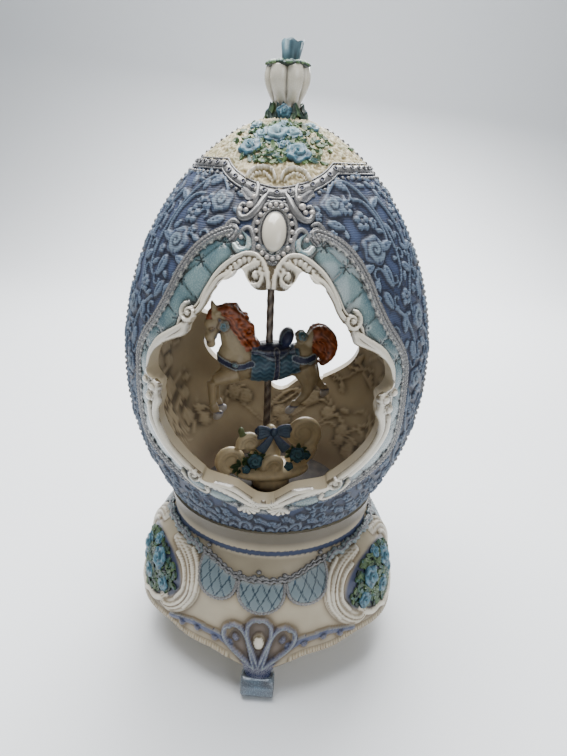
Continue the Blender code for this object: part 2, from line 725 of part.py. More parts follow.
def plinth_lumps():
    """C-scrolls, bow, roses and a round base, in the horse's frame."""
    s = PLINTH_WIDTH / PLINTH_DRAWN_WIDTH
    base = FLOOR_Z + FIT_GAP
    rim = base + PLINTH_LIFT

    def at(u, v, rise):
        return in_scene(u * s, v * s, rim + rise * s)

    def scroll(centre_u, v, centre_rise, reach, start, sweep, thick):
        points, radii = [], []
        for i in range(9):
            share = i / 8
            angle = math.radians(start + sweep * share)
            radius = reach * (1 - 0.62 * share)
            points.append(at(centre_u + radius * math.cos(angle), v, centre_rise + radius * math.sin(angle)))
            radii.append(thick * s * (1 - 0.35 * share))
        return tube(points, radii, 1)

    parts = [ball(at(2.0, 0.0, 2.6), (14.0 * s, 7.6 * s, 3.0 * s), turn=SCENE_TURN, sides=16, rings=8)]
    hub_top = at(2.0, 0.0, 2.0)
    hub_low = Vector((hub_top.x, hub_top.y, base))
    parts.append(tube([hub_low, hub_top], 7.0 * s, 3))
    parts.append(ball(at(0.0, 0.5, 9.0), (5.6 * s, 4.6 * s, 9.5 * s), turn=SCENE_TURN, sides=12, rings=8))
    parts.append(scroll(-11.8, -0.5, 7.6, 5.0, -100, -330, 2.3))
    parts.append(scroll(-5.8, -1.8, 14.2, 3.6, -150, -300, 2.0))
    parts.append(scroll(2.2, -4.6, 6.4, 3.6, 200, -290, 2.0))
    parts.append(scroll(13.0, 1.5, 15.6, 6.2, -75, 300, 2.5))
    parts.append(tube([at(8.0, 0.0, 5.0), at(14.5, 0.8, 6.5), at(17.2, 1.5, 11.0)], [3.4 * s, 3.2 * s, 2.6 * s], 1))
    parts.append(tube([at(-3.0, 0.0, 4.0), at(-9.0, -0.4, 4.4), at(-13.0, -0.5, 4.6)], [3.0 * s, 2.8 * s, 2.2 * s], 1))
    for side in (-1, 1):
        parts.append(ball(at(1.4 + side * 3.9, -4.8, 21.2), (3.4 * s, 1.5 * s, 2.5 * s), turn=SCENE_TURN, tilt=-side * 24))
        tail = [at(1.4, -5.0, 19.6), at(1.4 + side * 2.8, -5.6, 15.0), at(1.4 + side * 5.4, -5.8, 11.4)]
        parts.append(tube(tail, [1.0 * s, 1.4 * s, 1.2 * s]))
    parts.append(ball(at(1.4, -5.2, 20.2), (1.5 * s, 1.5 * s, 1.8 * s)))
    parts.append(ball(at(0.8, -2.4, 18.0), (2.6 * s, 2.6 * s, 3.4 * s)))
    outward = in_scene(0.0, -10.0, 4.0) - in_scene(0.0, 0.0, 0.0)
    parts.append(rose(at(-4.6, -6.2, 7.2), outward, 2.7 * s))
    parts.append(rose(at(10.4, -5.0, 7.8), outward, 3.0 * s, 20))
    parts.append(ball(at(-9.0, -1.6, 18.8), (1.2 * s, 1.2 * s, 1.7 * s)))
    return parts


def make_plinth(parts_in, tools_in, look):
    made = carved("scroll_plinth", plinth_lumps(), PLINTH_GRAIN, PLINTH_KEPT, parts_in)
    made.data.materials.append(look)
    low = FLOOR_Z + PLINTH_LIFT + POLE_SOCKET_RISE - FIT_GAP
    boolean(made, pole_hole("plinth_socket", low, low + PLINTH_DRAWN_WIDTH, tools_in), "DIFFERENCE")
    return made


def horse_lumps():
    """A leaping carousel horse with mane, tail, saddle and blanket, its head towards -X."""
    s = HORSE_LENGTH / HORSE_DRAWN_LENGTH
    back = EGG_BOTTOM_Z + HORSE_BACK_RISE

    def at(u, v, fall):
        return in_scene(u * s, v * s, back - fall * s)

    def limb(points, radii, resolution=1):
        return tube([at(*point) for point in points], [radius * s for radius in radii], resolution)

    def lump(u, v, fall, a, b, c, tilt=0.0):
        return ball(at(u, v, fall), (a * s, b * s, c * s), turn=SCENE_TURN, tilt=tilt, sides=12, rings=8)

    parts = [
        lump(-1.0, 0.0, 6.4, 13.0, 5.0, 6.0),
        lump(-11.0, 0.0, 6.0, 5.6, 4.8, 6.4),
        lump(11.0, 0.0, 5.6, 5.8, 5.2, 6.4),
        limb([(-9.5, 0, 5.0), (-11.4, 0, -1.0), (-13.8, 0, -7.2), (-16.6, 0, -10.8)], [6.0, 4.7, 3.6, 2.9], 2),
        limb([(-16.8, 0, -10.6), (-18.7, 0, -7.2), (-19.8, 0, -3.4), (-20.2, 0, -1.2)], [2.9, 2.7, 1.9, 1.7], 2),
        limb([(-18.3, -1.3, -11.0), (-18.8, -1.7, -14.6)], [1.1, 0.4]),
        limb([(-18.0, 1.3, -11.0), (-18.4, 1.7, -14.4)], [1.1, 0.4]),
        lump(-20.6, 0.0, -10.6, 1.5, 1.4, 2.2),
    ]
    crest = ((-17.2, -13.2, 2.0), (-14.2, -13.6, 2.3), (-11.6, -12.3, 2.5), (-9.6, -9.8, 2.5))
    crest += ((-8.2, -6.8, 2.5), (-7.4, -3.4, 2.4), (-7.2, -0.2, 2.1))
    parts += [lump(u, 0.0, fall, size, 2.0, size) for u, fall, size in crest]
    tail = ((14.2, -0.2, 2.4), (17.2, -1.8, 3.9), (19.6, 0.8, 3.2), (19.2, 4.2, 2.4), (17.0, 6.8, 1.6))
    parts += [lump(u, 0.0, fall, size, 2.3, size) for u, fall, size in tail]
    parts += [
        limb([(-11.0, -2.8, 8.6), (-15.4, -3.2, 10.0), (-19.0, -3.2, 11.2)], [3.6, 2.6, 1.9]),
        limb([(-19.0, -3.2, 11.2), (-18.8, -3.2, 15.5), (-18.5, -3.2, 19.4)], [1.8, 1.4, 1.4]),
        limb([(-18.5, -3.2, 19.4), (-17.0, -3.2, 22.4)], [1.4, 2.0]),
        limb([(-11.0, 2.8, 8.6), (-14.4, 3.2, 11.0), (-17.4, 3.2, 12.6)], [3.6, 2.6, 1.9]),
        limb([(-17.4, 3.2, 12.6), (-17.0, 3.2, 16.4), (-16.6, 3.2, 20.2)], [1.8, 1.4, 1.4]),
        limb([(-16.6, 3.2, 20.2), (-14.8, 3.2, 23.0)], [1.4, 2.0]),
        limb([(11.0, -2.8, 7.0), (14.0, -3.2, 13.4), (11.4, -3.2, 18.0)], [4.4, 2.7, 1.5]),
        limb([(11.4, -3.2, 18.0), (9.4, -3.2, 19.8), (7.4, -3.2, 21.6)], [1.5, 1.4, 2.0]),
        limb([(12.0, 2.8, 7.0), (16.0, 3.2, 12.4), (18.4, 3.2, 15.4)], [4.4, 2.7, 1.5]),
        limb([(18.4, 3.2, 15.4), (19.8, 3.2, 16.6), (21.2, 3.2, 18.2)], [1.5, 1.4, 2.0]),
        lump(0.6, 0.0, 0.6, 6.8, 4.6, 2.0),
        lump(5.6, 0.0, -2.8, 2.2, 3.6, 3.4, tilt=24),
        lump(-5.0, 0.0, -0.6, 1.8, 3.2, 1.8),
        lump(-1.4, 0.0, 5.6, 5.4, 5.9, 5.6),
        lump(10.6, 0.0, -2.6, 2.2, 2.6, 2.2),
    ]
    return parts


def make_horse(parts_in, tools_in, look):
    made = carved("carousel_horse", horse_lumps(), HORSE_GRAIN, HORSE_KEPT, parts_in)
    made.data.materials.append(look)
    back = EGG_BOTTOM_Z + HORSE_BACK_RISE
    bore = pole_hole("horse_bore", back - HORSE_LENGTH, back + HORSE_LENGTH, tools_in)
    boolean(made, bore, "DIFFERENCE")
    return made


def main():
    for old in list(bpy.data.objects):
        bpy.data.objects.remove(old)
    parts_in = bpy.data.collections.new("jewelled_egg")
    tools_in = bpy.data.collections.new("cutters_and_tools")
    bpy.context.scene.collection.children.link(parts_in)
    bpy.context.scene.collection.children.link(tools_in)
    cream = material("cream_resin", (0.72, 0.66, 0.55), 0.5)
    blue = material("blue_painted_resin", (0.22, 0.29, 0.48), 0.55)
    pearl = material("imitation_pearl", (0.85, 0.83, 0.78), 0.18)
    white = material("pearl_white_resin", (0.82, 0.79, 0.72), 0.35)
    bronze = material("dark_bronze_rod", (0.16, 0.12, 0.09), 0.4, 0.9)
    ivory = material("ivory_resin", (0.75, 0.66, 0.52), 0.5)
    make_stand(parts_in, tools_in, cream)
    make_egg(parts_in, tools_in, blue)
    make_pearl(parts_in, pearl)
    make_finial(parts_in, tools_in, white)
    make_pole(parts_in, bronze)
    make_plinth(parts_in, tools_in, cream)
    make_horse(parts_in, tools_in, ivory)


main()
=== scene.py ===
"""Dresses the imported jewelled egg: painted resin relief, set pearl, twisted pole and carousel horse.

Sizes are millimetres and turn to metres where a mesh is stored. The egg's axis is Z and its front
faces -Y. An azimuth is in degrees, 0 at the front and growing towards +X.
"""

from __future__ import annotations

import logging
import math
from collections.abc import Callable, Sequence
from dataclasses import dataclass
from enum import Enum

import bpy
import numpy as np
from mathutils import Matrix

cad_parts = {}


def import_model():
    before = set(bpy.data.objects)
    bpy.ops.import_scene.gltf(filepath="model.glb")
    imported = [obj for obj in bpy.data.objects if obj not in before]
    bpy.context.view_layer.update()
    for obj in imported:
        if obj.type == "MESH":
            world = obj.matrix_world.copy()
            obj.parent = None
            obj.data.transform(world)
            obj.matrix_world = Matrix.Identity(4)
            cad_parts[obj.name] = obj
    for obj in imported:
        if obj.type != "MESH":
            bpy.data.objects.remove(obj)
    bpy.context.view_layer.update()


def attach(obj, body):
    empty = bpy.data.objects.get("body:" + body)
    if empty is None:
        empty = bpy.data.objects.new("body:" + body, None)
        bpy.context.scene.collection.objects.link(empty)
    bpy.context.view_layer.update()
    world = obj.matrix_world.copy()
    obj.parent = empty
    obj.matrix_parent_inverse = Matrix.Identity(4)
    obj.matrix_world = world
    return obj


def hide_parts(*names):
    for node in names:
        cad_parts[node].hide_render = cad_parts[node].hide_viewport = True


LOG = logging.getLogger("jewelled_egg")
MM = 0.001


class Paint(Enum):
    """The paints on the casting, some of them painted shade or light, as sRGB hex colours."""

    PERIWINKLE = "3A4867"
    PERIWINKLE_DEEP = "2C3650"
    DRY_BLUE = "6E7F8E"
    RELIEF_BLUE = "53647D"
    LILAC_GREY = "5E5F6C"
    TURQUOISE = "5F777A"
    TURQUOISE_DEEP = "2A4C58"
    STITCH = "1C4058"
    SWAG_GREY = "65757B"
    # painted shadow that the egg casts on the stand's collar
    EGG_SHADOW_ON_COLLAR = "4C4436"
    PEARL_WHITE = "CFC8B7"
    PEARL_LIGHT = "EDE8DC"
    PEARL_SHADE = "6A5E47"
    SILVER = "5F6167"
    SILVER_SHADE = "24262E"
    CREAM = "A79B83"
    CREAM_SHADE = "8A7757"
    CAP_CREAM = "BFB38C"
    CAP_SHADE = "8C7C4E"
    TAUPE = "A99B80"
    TAUPE_SHADE = "7A6A50"
    # brown of the wash in the hollow's folds, and of the painted shade low on its wall and under the plinth
    WASH_AND_SHADE_BROWN = "4E3B28"
    # painted shade: the dark of the hollow's floor, which lies in shade
    HOLLOW_FLOOR_SHADE = "2A2018"
    ROSE_BLUE = "386A7B"
    ROSE_DEEP = "17455C"
    ROSE_PALE = "6F929C"
    LEAF = "4A6436"
    LEAF_DEEP = "18291A"
    MOSS = "6E8655"
    STUB_TEAL = "54737E"
    STUB_SHADE = "2C4652"
    VIOLET = "3B4464"
    VIOLET_DEEP = "222D55"
    MAUVE = "716359"
    BAND_BLUE = "333F5C"
    # ivory darkened to paint the shade the horse stands in inside the egg
    SHADED_IVORY = "A69779"
    IVORY_SHADE = "745C3A"
    RUST = "A84E0E"
    RUST_DEEP = "3A1406"
    NAVY = "20284A"
    BLANKET = "264B62"
    HOOF = "A6A19E"
    BRONZE = "655A52"
    BRONZE_EDGE = "9A8C7C"
    # pale plinth cream, lightened to paint the light on the plinth's front
    LIT_PLINTH_CREAM = "D8C8A6"

    @property
    def light(self) -> np.ndarray:
        """The paint in linear light."""
        return linear(self.value)


def linear(code: str) -> np.ndarray:
    """Turns an sRGB hex colour to linear light.

    Args:
        code: six hex digits.

    Returns:
        Three channels from 0 to 1.
    """
    channels = np.array([int(code[i : i + 2], 16) / 255 for i in (0, 2, 4)])
    return np.where(channels <= 0.04045, channels / 12.92, ((channels + 0.055) / 1.055) ** 2.4)


def add_node(tree: bpy.types.NodeTree, kind: str, feeds: dict | None = None, **settings) -> bpy.types.Node:
    """Adds one node with its settings, values and links.

    Args:
        tree: the material's node tree.
        kind: the node's type name.
        feeds: values or output sockets, by input name or number.
        **settings: the node's own properties.

    Returns:
        The new node.
    """
    node = tree.nodes.new(kind)
    for key, value in settings.items():
        setattr(node, key, value)
    for key, value in (feeds or {}).items():
        if isinstance(value, bpy.types.NodeSocket):
            tree.links.new(value, node.inputs[key])
        else:
            node.inputs[key].default_value = value
    return node


@dataclass(frozen=True)
class PaintedResin:
    """Cast resin under hand-brushed acrylic, washed dark in the hollows with a wash that also paints their shade, and
    dry brushed on the crests.
    """

    name: str
    crest: Paint
    hollow: Paint
    crest_share: float = 0.6
    wash_and_shade_share: float = 0.7
    mottle_mm: float = 5.0
    mottle_share: float = 0.08
    grain_mm: float = 0.35
    grain_depth_mm: float = 0.05
    roughness: float = 0.55
    coat: float = 0.0
    hatch_mm: float = 0.0
    hatch_share: float = 0.35
    hatch_depth_mm: float = 0.06

    def make(self) -> bpy.types.Material:
        """Builds the node material.

        Returns:
            The material, which reads the paint, crest, hollow and silver laid on a mesh.
        """
        material = bpy.data.materials.new(self.name)
        material.use_nodes = True
        tree = material.node_tree
        shader = tree.nodes["Principled BSDF"]
        where = add_node(tree, "ShaderNodeTexCoord").outputs["Object"]
        laid = {
            key: add_node(tree, "ShaderNodeAttribute", attribute_name=key) for key in ("paint", "crest", "hollow", "silver")
        }
        crest, hollow, silver = (laid[key].outputs["Fac"] for key in ("crest", "hollow", "silver"))
        grain = add_node(
            tree, "ShaderNodeTexNoise", {"Vector": where, "Scale": 1 / (self.grain_mm * MM), "Detail": 3.0}
        ).outputs["Fac"]
        cloud = add_node(
            tree, "ShaderNodeTexNoise", {"Vector": where, "Scale": 1 / (self.mottle_mm * MM), "Detail": 4.0}
        ).outputs["Fac"]
        broken = add_node(
            tree, "ShaderNodeMapRange", {0: grain, 1: 0.36, 2: 0.60, 3: 0.35 * self.crest_share, 4: self.crest_share}
        ).outputs[0]
        brushed = add_node(tree, "ShaderNodeMath", {0: crest, 1: broken}, operation="MULTIPLY").outputs[0]
        lit = add_node(
            tree,
            "ShaderNodeMix",
            {0: brushed, 6: laid["paint"].outputs["Color"], 7: (*self.crest.light, 1.0)},
            data_type="RGBA",
        ).outputs[2]
        lines = None
        if self.hatch_mm:
            # Wave scale is in turns per metre over about two pi, so this gives lines hatch_mm apart.
            lines = add_node(
                tree,
                "ShaderNodeTexWave",
                {"Vector": where, "Scale": 0.32 / (self.hatch_mm * MM), "Distortion": 4.0, "Detail": 1.5},
                bands_direction="Z",
            ).outputs["Fac"]
            worn = add_node(tree, "ShaderNodeMath", {0: lines, 1: self.hatch_share}, operation="MULTIPLY").outputs[0]
            hollow = add_node(tree, "ShaderNodeMath", {0: hollow, 1: worn}, operation="ADD", use_clamp=True).outputs[0]
        # The hollow mark darkens recesses with a wash that also stands in for the shade falling into them.
        wash = add_node(tree, "ShaderNodeMath", {0: hollow, 1: self.wash_and_shade_share}, operation="MULTIPLY").outputs[0]
        washed = add_node(
            tree,
            "ShaderNodeMix",
            {0: wash, 6: lit, 7: (*self.hollow.light, 1.0)},
            data_type="RGBA",
            blend_type="MULTIPLY",
        ).outputs[2]
        tone = add_node(
            tree,
            "ShaderNodeMapRange",
            {0: cloud, 1: 0.3, 2: 0.7, 3: 1 - self.mottle_share, 4: 1 + self.mottle_share},
        ).outputs[0]
        colour = add_node(tree, "ShaderNodeHueSaturation", {"Color": washed, "Value": tone}).outputs[0]
        tree.links.new(colour, shader.inputs["Base Color"])
        metal = add_node(tree, "ShaderNodeMath", {0: silver, 1: 0.72}, operation="MULTIPLY").outputs[0]
        tree.links.new(metal, shader.inputs["Metallic"])
        rough = add_node(
            tree, "ShaderNodeMapRange", {0: grain, 1: 0.3, 2: 0.7, 3: self.roughness - 0.07, 4: self.roughness + 0.07}
        ).outputs[0]
        rubbed = add_node(tree, "ShaderNodeMix", {0: silver, 2: rough, 3: 0.24}, data_type="FLOAT").outputs[0]
        tree.links.new(rubbed, shader.inputs["Roughness"])
        bump = add_node(
            tree, "ShaderNodeBump", {"Height": grain, "Strength": 0.5, "Distance": self.grain_depth_mm * MM}
        )
        if lines:
            bump = add_node(
                tree,
                "ShaderNodeBump",
                {"Height": lines, "Strength": 0.6, "Distance": self.hatch_depth_mm * MM, "Normal": bump.outputs[0]},
            )
        tree.links.new(bump.outputs[0], shader.inputs["Normal"])
        shader.inputs["Coat Weight"].default_value = self.coat
        shader.inputs["Coat Roughness"].default_value = 0.13
        return material


# Matt acrylic on resin: soft and chalky, with a fine engraved hatch in the blue field.
FIELD_RESIN = PaintedResin(
    "periwinkle_acrylic_on_cast_resin", Paint.DRY_BLUE, Paint.PERIWINKLE_DEEP, 0.72, 0.90, hatch_mm=0.55
)
# Matt wash inside the hollow: no shine, brown in the folds from the wash and from painted shade.
HOLLOW_RESIN = PaintedResin(
    "matt_taupe_wash_on_cast_resin", Paint.TAUPE, Paint.WASH_AND_SHADE_BROWN, 0.2, 0.8, mottle_mm=9.0, roughness=0.68, grain_depth_mm=0.03
)
# Pearl lacquer brushed over resin: white, with a soft shine on the rolls.
FRAME_RESIN = PaintedResin(
    "pearl_lacquer_on_cast_resin", Paint.PEARL_WHITE, Paint.PEARL_SHADE, 0.6, 1.0, roughness=0.26, coat=1.0,
    grain_depth_mm=0.03,
)
# Silver wax rubbed on resin beads: bright tops, dark between.
SILVER_RESIN = PaintedResin(
    "silver_wax_on_cast_resin", Paint.PEARL_WHITE, Paint.SILVER_SHADE, 0.22, 0.95, roughness=0.30, grain_depth_mm=0.03
)
# Antiqued cream acrylic: warm, satin, brown in the hollows from the wash and from painted shade.
CREAM_RESIN = PaintedResin(
    "antiqued_cream_acrylic_on_cast_resin", Paint.PEARL_WHITE, Paint.CREAM_SHADE, 0.22, 0.8, mottle_mm=9.0,
    roughness=0.48, coat=0.12, grain_depth_mm=0.03,
)
# Crumbled lace cast in resin on the cap, yellowish in the hollows.
CAP_RESIN = PaintedResin(
    "lace_textured_cream_acrylic_on_cast_resin", Paint.PEARL_WHITE, Paint.CAP_SHADE, 0.5, 0.8, grain_depth_mm=0.08
)
# Flowers and leaves painted wet in wet, darker in the folds.
FLOWER_RESIN = PaintedResin(
    "flower_acrylics_on_cast_resin", Paint.ROSE_PALE, Paint.LEAF_DEEP, 0.35, 0.55, mottle_mm=1.6, mottle_share=0.16,
    roughness=0.46, coat=0.1,
)
# Ivory and rust acrylics on the small horse, brown in the folds from a stain and from painted shade.
HORSE_RESIN = PaintedResin(
    "ivory_acrylic_on_cast_resin", Paint.PEARL_WHITE, Paint.IVORY_SHADE, 0.3, 0.75, mottle_mm=2.5, mottle_share=0.10,
    grain_mm=0.25, grain_depth_mm=0.02, roughness=0.42, coat=0.15,
)
# Drawn and twisted rod, bronzed dark and rubbed on the twist.
TWIST_ROD = PaintedResin(
    "bronzed_twisted_steel_rod", Paint.BRONZE_EDGE, Paint.BRONZE, 0.7, 0.5, roughness=0.36, grain_depth_mm=0.01
)
# Nacre lacquer over a moulded cabochon: smooth and deep.
CABOCHON = PaintedResin(
    "nacre_lacquer_on_moulded_cabochon", Paint.PEARL_WHITE, Paint.PEARL_SHADE, 0.0, 0.2, mottle_mm=3.0,
    mottle_share=0.05, grain_depth_mm=0.004, roughness=0.2, coat=0.8,
)


# a mesh with more triangles than this is thinned to this share of them, apart
# from those whose broad plain parts would show it as streaks
THIN_FROM = 12000
KEPT_SHARE = 0.6
KEPT_WHOLE = {"stand_body", "finial_cup", "stand_underside"}


def smoothed(values: np.ndarray, edges: np.ndarray, rounds: int) -> np.ndarray:
    """Averages a value over neighbours.

    Args:
        values: one value a vertex.
        edges: pairs of vertices.
        rounds: how many times neighbours are averaged.

    Returns:
        The smoothed values.
    """
    count = len(values)
    degree = np.maximum(np.bincount(edges.ravel(), minlength=count), 1).astype(float)
    for _ in range(rounds):
        total = np.bincount(edges[:, 0], values[edges[:, 1]], count) + np.bincount(edges[:, 1], values[edges[:, 0]], count)
        values = 0.4 * values + 0.6 * total / degree
    return values


def store(
    name: str,
    places: np.ndarray,
    faces: Sequence,
    paint: np.ndarray,
    silver: np.ndarray,
    relief: np.ndarray,
    finish: bpy.types.Material,
    replaced: str,
    rounds: int = 8,
) -> bpy.types.Object:
    """Stores a mesh with its paint, and marks how crests and hollows lie.

    Args:
        name: the piece's name.
        places: vertices in millimetres.
        faces: vertex numbers of each face.
        paint: linear colour a vertex.
        silver: how much silver wax is on each vertex.
        relief: height of the relief a vertex, in millimetres.
        finish: the piece's material.
        replaced: the solid that this piece stands for.
        rounds: reach of the comparison that finds crests and hollows.

    Returns:
        The stored object.
    """
    mesh = bpy.data.meshes.new(name)
    mesh.from_pydata((places * MM).tolist(), [], faces if isinstance(faces, list) else faces.tolist())
    mesh.update()
    edges = np.empty(len(mesh.edges) * 2, np.int32)
    mesh.edges.foreach_get("vertices", edges)
    edges = edges.reshape(-1, 2)
    mean = smoothed(relief, edges, rounds)
    stands = relief - mean
    broad = relief - smoothed(mean, edges, 3 * rounds)
    # The hollow mark takes small recesses and broad ones. The material darkens the small ones with a wash that is also
    # painted shade, and the broad ones with painted shade.
    marks = {
        "crest": np.clip(stands / 0.15, 0, 1),
        "hollow": np.clip(np.maximum(-stands / 0.10, -broad / 0.30), 0, 1),
        "silver": np.clip(silver, 0, 1),
    }
    for key, values in marks.items():
        mesh.attributes.new(key, "FLOAT", "POINT").data.foreach_set("value", values.astype(np.float32))
    colour = np.concatenate([paint, np.ones((len(paint), 1))], axis=1).astype(np.float32)
    mesh.attributes.new("paint", "FLOAT_COLOR", "POINT").data.foreach_set("color", colour.ravel())
    mesh.shade_smooth()
    mesh.materials.append(finish)
    made = bpy.data.objects.new(name, mesh)
    bpy.context.scene.collection.objects.link(made)
    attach(made, "root")
    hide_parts(replaced)
    mesh.calc_loop_triangles()
    if len(mesh.loop_triangles) > THIN_FROM and name not in KEPT_WHOLE:
        mesh = thinned(made, KEPT_SHARE)
    LOG.info("%s: %d vertices, %d faces", name, len(mesh.vertices), len(mesh.polygons))
    return made


def thinned(piece: bpy.types.Object, share: float) -> bpy.types.Mesh:
    """Thins a piece's mesh by the edges that its form needs least.

    Args:
        piece: the piece, whose mesh is changed.
        share: share of the triangles that stays.

    Returns:
        The thinner mesh, which the piece now has.
    """
    modifier = piece.modifiers.new("thin", "DECIMATE")
    modifier.ratio = share
    graph = bpy.context.evaluated_depsgraph_get()
    mesh = bpy.data.meshes.new_from_object(piece.evaluated_get(graph), preserve_all_data_layers=True, depsgraph=graph)
    piece.modifiers.clear()
    full, piece.data = piece.data, mesh
    bpy.data.meshes.remove(full)
    mesh.name = piece.name
    return mesh


def grid_faces(rows: int, columns: int, wrap: bool = False) -> np.ndarray:
    """Faces of a grid whose rows run up and whose columns run with the azimuth.

    Args:
        rows: rows of vertices.
        columns: columns of vertices.
        wrap: whether the last column joins the first.

    Returns:
        Vertex numbers, four a face.
    """
    r, c = np.meshgrid(np.arange(rows - 1), np.arange(columns if wrap else columns - 1), indexing="ij")
    n = (c + 1) % columns
    return np.stack([r * columns + c, r * columns + n, (r + 1) * columns + n, (r + 1) * columns + c], -1).reshape(-1, 4)


def smooth_line(points: Sequence, step: float, closed: bool = False, rounds: int = 3) -> np.ndarray:
    """Rounds a broken line and spaces its points evenly.

    Args:
        points: corners, in two or three coordinates.
        step: spacing wanted.
        closed: whether the line returns to its start.
        rounds: how often the corners are cut.

    Returns:
        The rounded line.
    """
    line = np.asarray(points, float)
    for _ in range(rounds):
        after = np.roll(line, -1, axis=0) if closed else line[1:]
        before = line if closed else line[:-1]
        cut = np.stack([0.75 * before + 0.25 * after, 0.25 * before + 0.75 * after], 1).reshape(-1, line.shape[1])
        line = cut if closed else np.concatenate([line[:1], cut, line[-1:]])
    if closed:
        line = np.concatenate([line, line[:1]])
    lengths = np.concatenate([[0], np.cumsum(np.linalg.norm(np.diff(line, axis=0), axis=1))])
    count = max(3, int(round(lengths[-1] / step)) + 1)
    spots = np.linspace(0, lengths[-1], count)
    return np.stack([np.interp(spots, lengths, line[:, i]) for i in range(line.shape[1])], 1)


def ripple(places: np.ndarray, size: float, seed: int) -> np.ndarray:
    """Soft random swell over a surface, the same each run.

    Args:
        places: points in millimetres.
        size: width of a swell.
        seed: picks the pattern.

    Returns:
        A value from 0 to 1 a point.
    """
    draw = np.random.default_rng(seed)
    total = np.zeros(len(places))
    for _ in range(12):
        way = draw.normal(size=3)
        way /= np.linalg.norm(way)
        total += np.sin(places @ way * 2 * math.pi / (size * draw.uniform(0.7, 1.5)) + draw.uniform(0, 6.3))
    return np.clip(0.5 + total / 9.0, 0, 1)


def rose_height(u: np.ndarray, v: np.ndarray, spin: float) -> np.ndarray:
    """Height of a rose seen from above: five outer petals round a spiral heart.

    Args:
        u: across, where 1 is the rose's rim.
        v: up, where 1 is the rose's rim.
        spin: turn in radians.

    Returns:
        A height from 0 to 1, and 0 outside the rim.
    """
    reach = np.hypot(u, v)
    angle = np.arctan2(v, u) + spin
    rim = 0.93 + 0.07 * np.cos(5 * angle)
    whorl = 2.3 * reach**0.8 - angle / (2 * math.pi)
    lip = whorl - np.floor(whorl)
    outer = np.clip((reach - 0.5) / 0.12, 0, 1)
    petals = 1 - 0.38 * outer * (1 - np.abs(np.sin(2.5 * angle + 0.5))) ** 2
    dome = 0.50 + 0.50 * np.clip(1 - reach**2, 0, 1)
    shape = dome * petals * (0.60 + 0.40 * lip**1.4)
    edge = np.clip((rim - reach) / 0.10, 0, 1)
    return shape * edge * (reach < rim)


def leaf_height(u: np.ndarray, v: np.ndarray) -> np.ndarray:
    """Height of a leaf seen from above, its stalk at u -1 and its tip at u 1.

    Args:
        u: along the leaf.
        v: across it, in the same unit.

    Returns:
        A height from 0 to 1, and 0 outside its edge.
    """
    half = 0.46 * np.clip(1 - u**2, 0, 1) ** 0.8 * (1 - 0.25 * u) + 1e-6
    side = np.abs(v) / half
    midrib = np.exp(-((v / 0.06) ** 2))
    veins = 0.5 + 0.5 * np.cos(16 * (u - 0.8 * np.abs(v)))
    return np.where(side < 1, (1 - side**2) ** 0.4 * (0.72 + 0.28 * side - 0.30 * midrib + 0.18 * veins), 0)


@dataclass
class Seat:
    """A spot on a surface with its level, upward and outward directions."""

    origin: np.ndarray
    east: np.ndarray
    north: np.ndarray
    out: np.ndarray

    @classmethod
    def facing(cls, origin: Sequence, out: Sequence) -> Seat:
        """Makes a seat from a place and its outward direction.

        Args:
            origin: the place in millimetres.
            out: the outward direction.

        Returns:
            The seat, with east kept level.
        """
        away = np.asarray(out, float) / np.linalg.norm(out)
        east = np.array([-away[1], away[0], 0.0])
        size = np.linalg.norm(east)
        east = east / size if size > 1e-6 else np.array([1.0, 0.0, 0.0])
        return cls(np.asarray(origin, float), east, np.cross(away, east), away)

    def at(self, u: np.ndarray, v: np.ndarray, w: np.ndarray) -> np.ndarray:
        """Places points given across, up and out."""
        return self.origin + np.outer(u, self.east) + np.outer(v, self.north) + np.outer(w, self.out)


